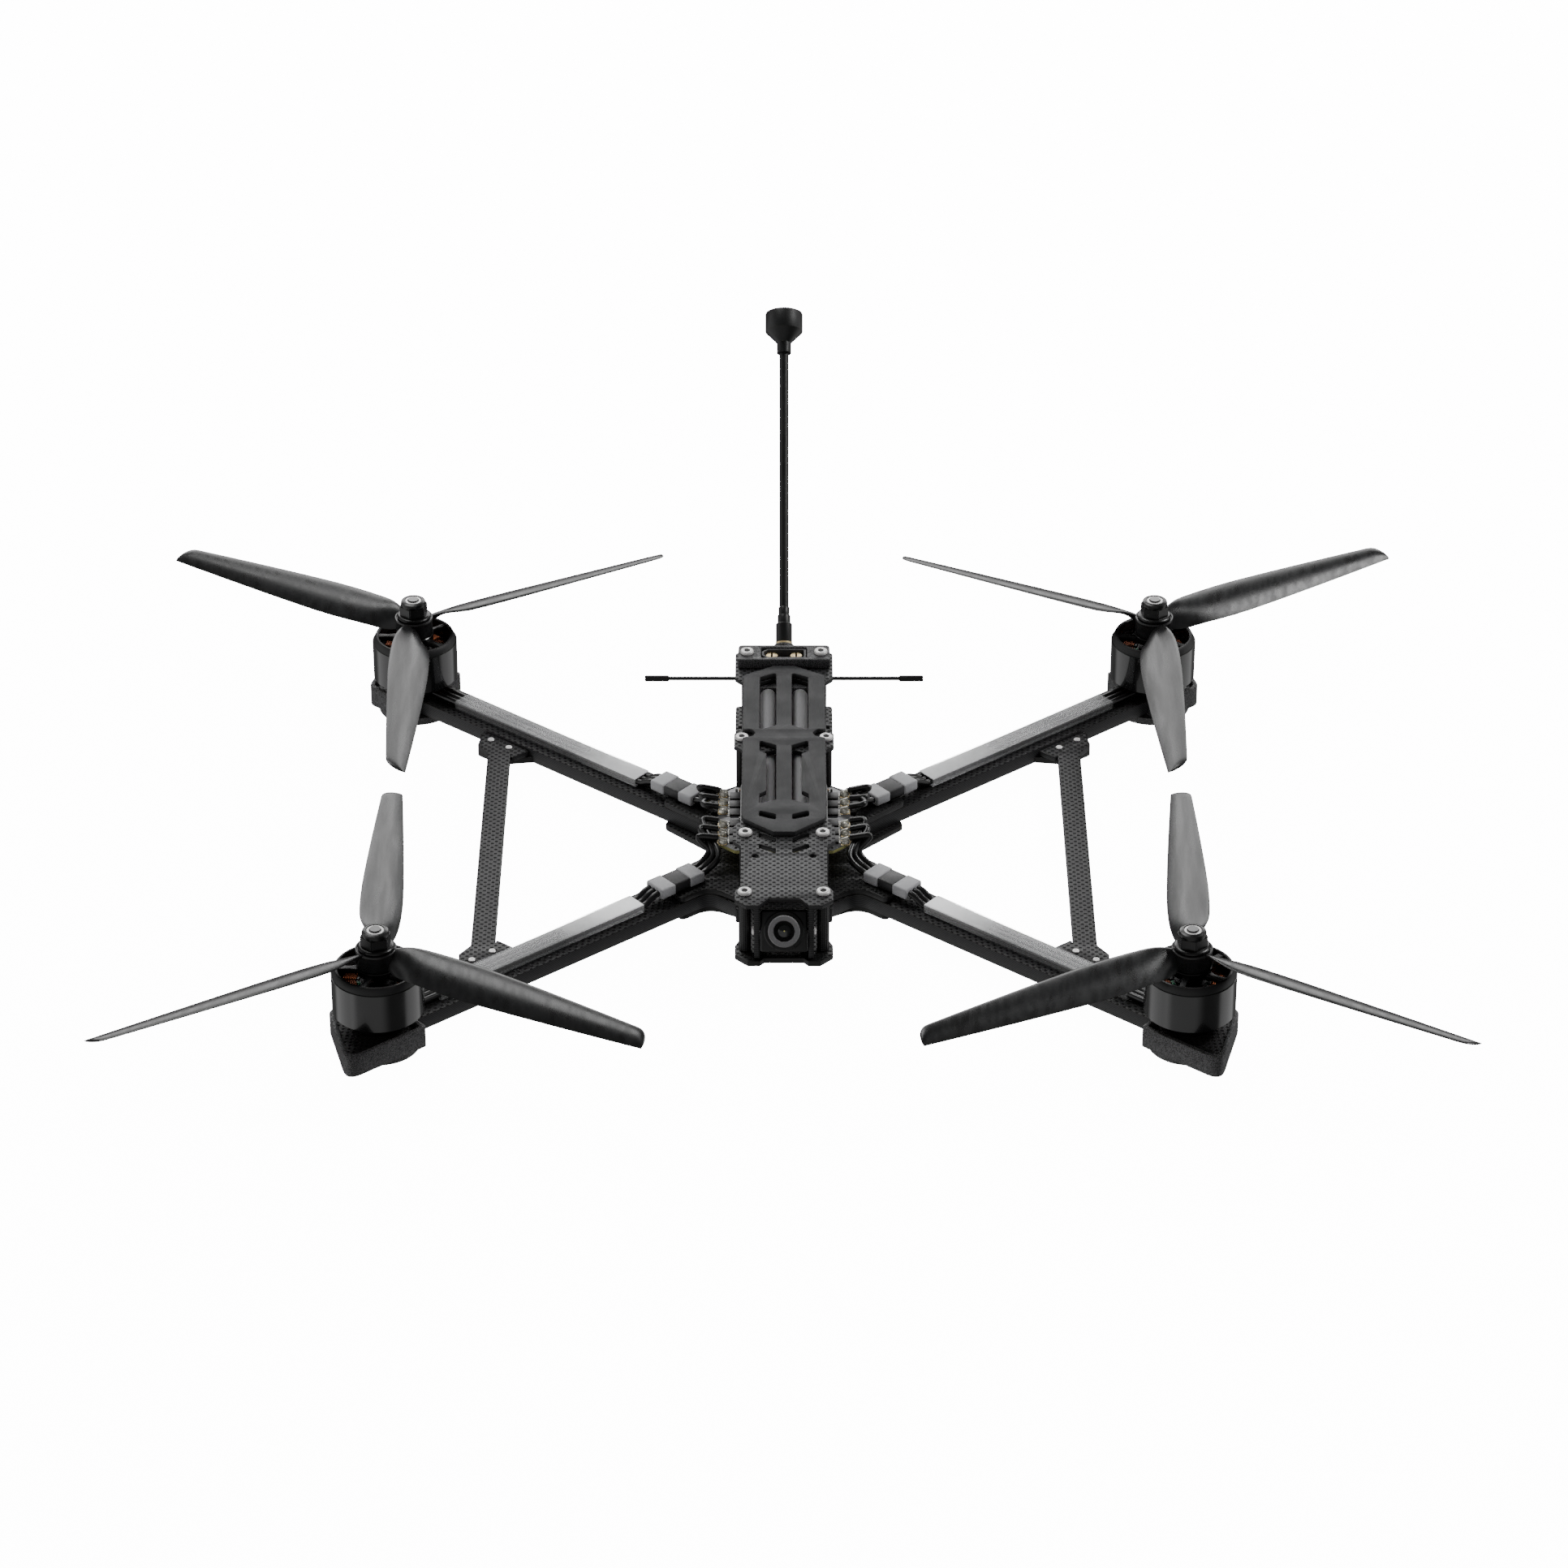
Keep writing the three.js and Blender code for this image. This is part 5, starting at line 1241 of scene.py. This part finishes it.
def flight_controller():
    bottom = span("flight_controller")[0].z + 1.8
    top = bottom + 1.6
    half = 18.5
    loop = rounded([(-half, -half), (half, -half), (half, half), (-half, half)], 3)
    holes = [circle(x, y, 2.0) for x, y in stack_screws]
    piece = Piece("flight_controller_board")
    piece.add(plate([loop, *holes], bottom, top - 0.1, 0.05), mask_black)
    piece.add(plate([loop, *holes], top - 0.11, top, 0.03), mask_black)
    piece.add(block(-4.5, 4.5, -4.5, 4.5, top - 0.02, top + 1.1, 0.2), chip)
    piece.add(block(-half + 6, -half + 13, -6, 6, bottom - 1.75, bottom + 0.05, 0.2), chip)
    piece.add(block(half - 7.2, half - 0.2, -4.4, 4.4, top - 0.02, top + 1.8, 0.8), port_steel)
    luck = random.Random(5)
    for _ in range(60):
        x, y = luck.uniform(-16.5, 16.5), luck.uniform(-16.5, 16.5)
        if abs(x) <= 12 or abs(y) <= 12:
            piece.add(*tiny_part(luck, x, y, top, 0.5, [chip, chip_tan, solder]))
    nut = lifted([(0, 0), (2.6, 0), (2.6, 1.2), (2.0, 1.85), (0, 1.9)], top)
    for x, y in stack_screws:
        piece.add(shifted(lathe(nut, 6), x, y), nut_black)
    piece.show("circuit_board", "flight_controller")


def transmitter():
    low, high = span("video_transmitter")
    depth, count = 1.6, 7
    piece = Piece("video_transmitter_case")
    piece.add(block(low.x + depth, high.x - depth, low.y, high.y, low.z, high.z, 0.5), sink_black)
    for i in range(count):
        y = low.y + i * (high.y - low.y - depth) / (count - 1)
        piece.add(block(low.x, high.x, y, y + depth, low.z + 1, high.z - 0.5, 0.35), sink_black)
    for sx in SIDES.values():
        x = sx * (high.x - 6)
        for y in (low.y + 3.4, high.y - 3.4):
            piece.add(shifted(button_head(1.5, 0.6, 0.7, 20), x, y, high.z - 0.62), nut_black)
    piece.show("heat_sink", "video_transmitter")


def power_leads():
    for name, sx in SIDES.items():
        low, high = span("power_lead_" + name)
        x = sx * 6.9
        level = top_low.z - 3.9
        route = [(x, low.y + 0.2, 35.0), (x, -22, level), (x, 20, level), (x, high.y, level)]
        piece = Piece("power_lead_" + name + "_cable")
        piece.add(tube(route, 3.4, 28, 10), lead_jacket)
        piece.show("wire_black", "power_lead_" + name)


def pad_piece():
    low, high = span("battery_pad")
    edge = high.x
    half = [(4.5, low.y, 1.5), (edge - 0.7, -31.5, 2), (edge, -28, 1), (edge, 89, 1.5), (4.4, high.y, 2)]
    ear = screw_stations["ear"]
    i_slot = [(3.3, 28.9), (10.4, 32.8), (10.4, 24.2), (7.5, 22)]
    i_slot += [(7.5, -9), (10.4, -11.5), (10.4, -19.2), (3.3, -16.1)]
    with_notch = [
        *half[:3], (edge, ear - 3.0, 1.2), (edge - 4.2, ear - 1.6, 1.6),
        (edge - 5.6, ear + 1.2, 1.8), (edge - 3.6, ear + 4.2, 1.8), (edge, ear + 3.4, 1.2),
        *half[3:],
    ]
    holes = []
    for sx in SIDES.values():
        holes.append(slanted_slot(sx, 46, 42, 45.2, 1.2))
        holes.append(rounded(flipped(i_slot, sx), 0.9, 4))
        holes.append(slanted_slot(sx, -32.4, -29.3, 4.4, 1.1))
    piece = Piece("battery_pad_sheet")
    piece.add(plate([rounded(mirrored(with_notch)), *holes], low.z, high.z, 0.35), pad_rubber)
    pad = piece.show("pad_rubber", "battery_pad")


# ---------------------------------------------------------------- rear block, socket, antennas
block_front, block_depth = 98.4, 13.2
socket_y = block_front + block_depth / 2
socket_half_x, socket_half_y = 9.7, 4.1
mast_lean = radians(47)


def rear_block():
    high = span("rear_mount")[1]
    cap_top = top_high.z + 0.15 + 4.6
    edge = high.x
    front, back = block_front, block_front + block_depth
    cap = rounded([(-edge, front, 1), (edge, front, 1), (edge - 0.4, back, 2), (-edge + 0.4, back, 2)])
    low_y, high_y = socket_y - 4.4, socket_y + 4.4
    mouth = rounded([(-10.0, low_y), (10.0, low_y), (10.0, high_y), (-10.0, high_y)], 0.8)
    screws = [circle(sx * screw_x, screw_stations["tail"], 1.7) for sx in SIDES.values()]
    piece = Piece("rear_block_print")
    piece.add(plate([cap, mouth, *screws], top_high.z + 0.15, cap_top, 0.5), polymer)
    shell = rounded([(-13, front - 13), (13, front - 13), (13, back), (-13, back)], 1.5)
    piece.add(plate([shell, mouth], mid_high.z + 0.15, top_low.z - 0.15, 0.4), polymer)
    socket_axis = Matrix.Translation((0, 116.6 - 4.6, 39.0)) @ Matrix.Rotation(-mast_lean, 4, "X")
    collar = lathe([(0, -6), (4.6, -6), (4.6, 5.4), (4.2, 6), (3.0, 6), (2.9, 5.4), (0, 5.4)], 40)
    piece.add(moved(collar, socket_axis), polymer)
    piece.show("printed_part", "rear_mount")


def socket_piece():
    low, high = span("battery_connector")
    corner = 2.4
    outline = [
        (-socket_half_x + corner, -socket_half_y), (socket_half_x, -socket_half_y),
        (socket_half_x, socket_half_y), (-socket_half_x + corner, socket_half_y),
        (-socket_half_x, socket_half_y - corner), (-socket_half_x, -socket_half_y + corner),
    ]
    outer = [(x, y + socket_y) for x, y in rounded(outline, 0.6, 4)]
    inner = [(x, y + socket_y) for x, y in rounded(inset(outline, 1.0), 0.5, 4)]
    piece = Piece("power_socket")
    piece.add(plate([outer, inner], low.z + 4, high.z, 0.15), plug_black)
    piece.add(plate([outer], low.z, low.z + 6, 0.15), plug_black)
    for sx in SIDES.values():
        x = sx * 5.35
        pin_top = high.z - 0.9
        for k in (-1, 1):
            angles = [i * pi / 16 for i in range(17)]
            arc = [(x + k * 0.35 + k * 2.2 * sin(a), socket_y + 2.2 * cos(a)) for a in angles]
            trimmed = [p for p in arc if (p[0] - x) * k > 0.3]
            piece.add(plate([trimmed if k > 0 else trimmed[::-1]], low.z + 5, pin_top, 0.2), gold)
    piece.show("socket_black", "battery_connector")


def antennas():
    length = 156.0
    wall, neck, radius = length - 9.0, length - 14.4, 8.4
    profile = [(0, 0), (3.5, 0), (3.6, 0.3), (3.6, 9.2), (3.4, 9.5), (2.85, 9.6), (2.85, 13.1), (2.7, 13.4)]
    profile += [(2.45, 13.5), (2.45, 16.9), (2.3, 17.2), (2.05, 17.3), (2.05, neck - 5), (3.0, neck - 5)]
    profile += [(3.2, neck - 4.8), (3.2, neck), (radius - 0.1, wall - 0.1), (radius, wall + 0.2)]
    profile += [(radius, length - 0.9), (radius - 0.25, length - 0.3), (radius - 0.9, length), (0, length)]
    piece = Piece("video_antenna_mast")
    piece.add(lathe(profile, 56), antenna_black)
    piece.add(lathe([(3.2, -0.1), (3.7, -0.1), (3.7, 0.7), (3.2, 0.7)], 48), gold)
    axis = Vector((0, sin(mast_lean), cos(mast_lean)))
    base = Vector((0, 116.6, 43.0)) + axis * 0.3
    place = Matrix.Translation(base * MM) @ Matrix.Rotation(-mast_lean, 4, "X")
    piece.show("antenna_black", "video_antenna", matrix=place)

    low, high = span("receiver_antenna")
    y, z = (low.y + high.y) / 2, (low.z + high.z) / 2
    piece = Piece("receiver_dipole")
    sideways = Matrix.Translation((0, y, z)) @ Matrix.Rotation(pi / 2, 4, "Y")
    wire = [(0, low.x + 2), (0.85, low.x + 2), (0.85, high.x - 2), (0, high.x - 2)]
    piece.add(moved(lathe(wire, 20), sideways), jacket)
    for sx in SIDES.values():
        tip = lifted([(0, -10.6), (1.1, -10.6), (1.4, -10.2), (1.4, -0.4), (1.0, 0), (0, 0)], high.x)
        turn = Matrix.Translation((0, y, z)) @ Matrix.Rotation(sx * pi / 2, 4, "Y")
        piece.add(moved(lathe(tip, 24), turn), antenna_black)
    piece.show("wire_black", "receiver_antenna")


# ------------------------------------------------------------------------------- camera
tilt_axis = Vector(joints["camera_tilt"]["pos_m"]) / MM
camera_tilt = radians(31)


def camera_pieces():
    for name, sx in SIDES.items():
        low, high = span("camera_plate_" + name)
        back = high.y
        waist = tilt_axis.y + 9
        outline = [
            (low.y, low.z, 0.8), (back, low.z, 0.8), (waist, tilt_axis.z, 6), (back, high.z, 0.8),
            (low.y, high.z, 0.8),
        ]
        loop = rounded(outline)
        hole = circle(tilt_axis.y, tilt_axis.z, 1.3)
        flat = plate([loop, hole], low.x, high.x, 0.2)
        stand = Matrix(((0, 0, 1, 0), (1, 0, 0, 0), (0, 1, 0, 0), (0, 0, 0, 1)))
        piece = Piece("camera_plate_" + name + "_laminate")
        piece.add(moved(flat, stand), carbon_side)
        piece.show("carbon_plate", "camera_plate_" + name)

    half_width, half_height, half_depth = 9.8, 8.6, 5.8
    front = -half_depth - 7.4
    forward = Matrix.Rotation(pi / 2, 4, "X")
    piece = Piece("camera_body")
    case = block(-half_width, half_width, -half_depth, half_depth, -half_height, half_height, 1.0, 3)
    piece.add(case, case_black)
    bezel = lifted([(0, -0.3), (8.4, -0.3), (8.4, 0.5), (7.9, 0.9), (0, 0.9)], half_depth)
    piece.add(moved(lathe(bezel, 56), forward), case_black)
    barrel = [
        (0, half_depth), (6.0, half_depth), (6.0, half_depth + 3), (6.6, half_depth + 3.4),
        (6.6, -front - 0.4), (6.2, -front), (4.6, -front), (4.35, -front - 0.5),
        (4.35, -front - 2.8), (0, -front - 2.8),
    ]
    piece.add(moved(lathe(barrel, 64), forward), ring_grey)
    for sx in SIDES.values():
        side = Matrix.Rotation(sx * pi / 2, 4, "Y")
        pin = [(0, 9), (1.0, 9), (1.0, 12.3), (1.9, 12.35), (1.9, 12.9), (1.4, 13.3), (0.8, 13.35)]
        pin += [(0.8, 12.9), (0, 12.9)]
        piece.add(moved(lathe(pin, 28), side), steel)
        rib = patch(sx * 4.2, -half_depth - 0.4, 0.3, 0.5, -half_height + 1, -3.5, 0.15)
        piece.add(rib, case_black)
    place = Matrix.Translation(tilt_axis * MM) @ Matrix.Rotation(-camera_tilt, 4, "X")
    piece.show("camera_case", "fpv_camera", body="camera", matrix=place)

    floor = -front - 2.75
    cone = lifted([(0, 0.05), (4.1, 0.05), (4.1, 0.5), (3.6, 0.65), (3.3, 0.35), (0, 0.35)], floor)
    dome = lifted([(0, 0.36), (3.2, 0.36), (3.0, 0.75), (2.4, 1.2), (1.4, 1.55), (0, 1.7)], floor)
    glint = lifted([(0, 1.6), (0.42, 1.6), (0.3, 1.74), (0, 1.76)], floor)
    piece = Piece("camera_lens_stack")
    piece.add(moved(lathe(cone, 48), forward), case_black)
    piece.add(moved(lathe(dome, 48), forward), lens_glass)
    piece.add(moved(shifted(lathe(glint, 16), 0.1, 0.1), forward), lens_glint)
    piece.show("lens_glass", "camera_lens", body="camera", matrix=place)


# ------------------------------------------------------------------------------- motor leads
connector_start, connector_length = 47.5, 23.3
connector_half, connector_height = 5.5, 4.8
sleeve_start, sleeve_end = 80.0, 185.5
wire_pitch = 2.85


def connector_block(corner, s0, s1, grow, bevel):
    """A stretch of the plug housing along the arm."""
    sx, sy = CORNERS[corner]
    low = mid_high.z + 0.15
    half = connector_half + grow
    shape = block(s0, s1, -half, half, low - grow * 0.2, low + connector_height + grow * 0.6, bevel, 3)
    return moved(shape, Matrix.Rotation(atan2(sy * half_base, sx * half_track), 4, "Z"))


def motor_lead(corner):
    sx, sy = CORNERS[corner]
    piece = Piece("motor_lead_" + corner + "_wires")
    plug_mid = mid_high.z + 0.15 + connector_height / 2
    bed = arm_high.z + 0.15 + 0.5 + 0.3 + wire_radius
    end = connector_start + connector_length
    motor_side = arm_reach - 12.2 - 1.5
    luck = random.Random(3 + 5 * sx + 7 * sy)
    for i, t in enumerate((wire_pitch, 0, -wire_pitch)):
        x, y = sx * (pad_x + 1.2), sy * (pad_first + i * pad_pitch)
        start = Vector((x - sx * 1.6, y, esc_top + 1.9))
        route = [
            start,
            Vector((x + sx * 0.6, y, esc_top + 2.6)),
            Vector((x + sx * (7 + i), y + sy * 0.6, esc_top + 3.2 + luck.uniform(-0.3, 0.6))),
            on_arm(corner, connector_start - 9, t * 1.15, plug_mid + 5.4),
            on_arm(corner, connector_start - 3, t, plug_mid + 1),
            on_arm(corner, connector_start + 2, t, plug_mid),
        ]
        bared = [start + Vector((-sx * 1.4, 0, -0.6)), start + Vector((sx * 1.6, 0, 0.35))]
        piece.add(tube(bared, 0.85, 12, 4), solder)
        piece.add(tube(route[1:], wire_radius, 16, 8), jacket)
        outer = [
            on_arm(corner, end - 2, t, plug_mid),
            on_arm(corner, end + 2, t, plug_mid - 0.4),
            on_arm(corner, sleeve_start - 2, t, bed),
            on_arm(corner, sleeve_start + 2, t, bed),
            on_arm(corner, (sleeve_start + motor_side) / 2, t, bed),
            on_arm(corner, motor_side, t, bed),
        ]
        piece.add(tube(outer, wire_radius, 16, 6), jacket)
    third = connector_length / 3
    piece.add(connector_block(corner, connector_start, connector_start + third, 0.0, 0.9), plug_grey)
    waist = connector_block(corner, connector_start + third - 0.6, end - third + 0.6, -0.45, 0.8)
    piece.add(waist, plug_black)
    piece.add(connector_block(corner, end - third, end, 0.0, 0.9), plug_grey)
    piece.show("wire_black", "motor_lead_" + corner, sharp=40)

    low, high = span("wire_sleeve_" + corner)
    half, wall = 5.0, 0.5
    height = high.z - low.z
    outline = rounded([(-half, 0), (half, 0), (half, height), (-half, height)], 0.7, 4)
    half, height = half - wall, height - wall
    bore = rounded([(-half, wall), (half, wall), (half, height), (-half, height)], 0.4, 4)
    along = Matrix(((0, 0, 1, 0), (1, 0, 0, 0), (0, 1, 0, 0), (0, 0, 0, 1)))
    turn = Matrix.Rotation(atan2(sy * half_base, sx * half_track), 4, "Z")
    shell = plate([outline, bore], sleeve_start, sleeve_end, 0.05)
    piece = Piece("wire_sleeve_" + corner + "_film")
    piece.add(moved(shell, Matrix.Translation((0, 0, low.z)) @ turn @ along), clear)
    piece.show("sleeve_clear", "wire_sleeve_" + corner)


# ------------------------------------------------------------------------------- everything together
add_camera()
add_studio()
add_floor()
for corner in CORNERS:
    arm_piece(corner)
    guard_piece(corner)
    motor_lead(corner)
for name, sx in SIDES.items():
    brace_piece(name, sx)
lower_plates()
top_plate()
standoffs()
motors()
esc_piece()
flight_controller()
transmitter()
power_leads()
pad_piece()
rear_block()
socket_piece()
antennas()
camera_pieces()
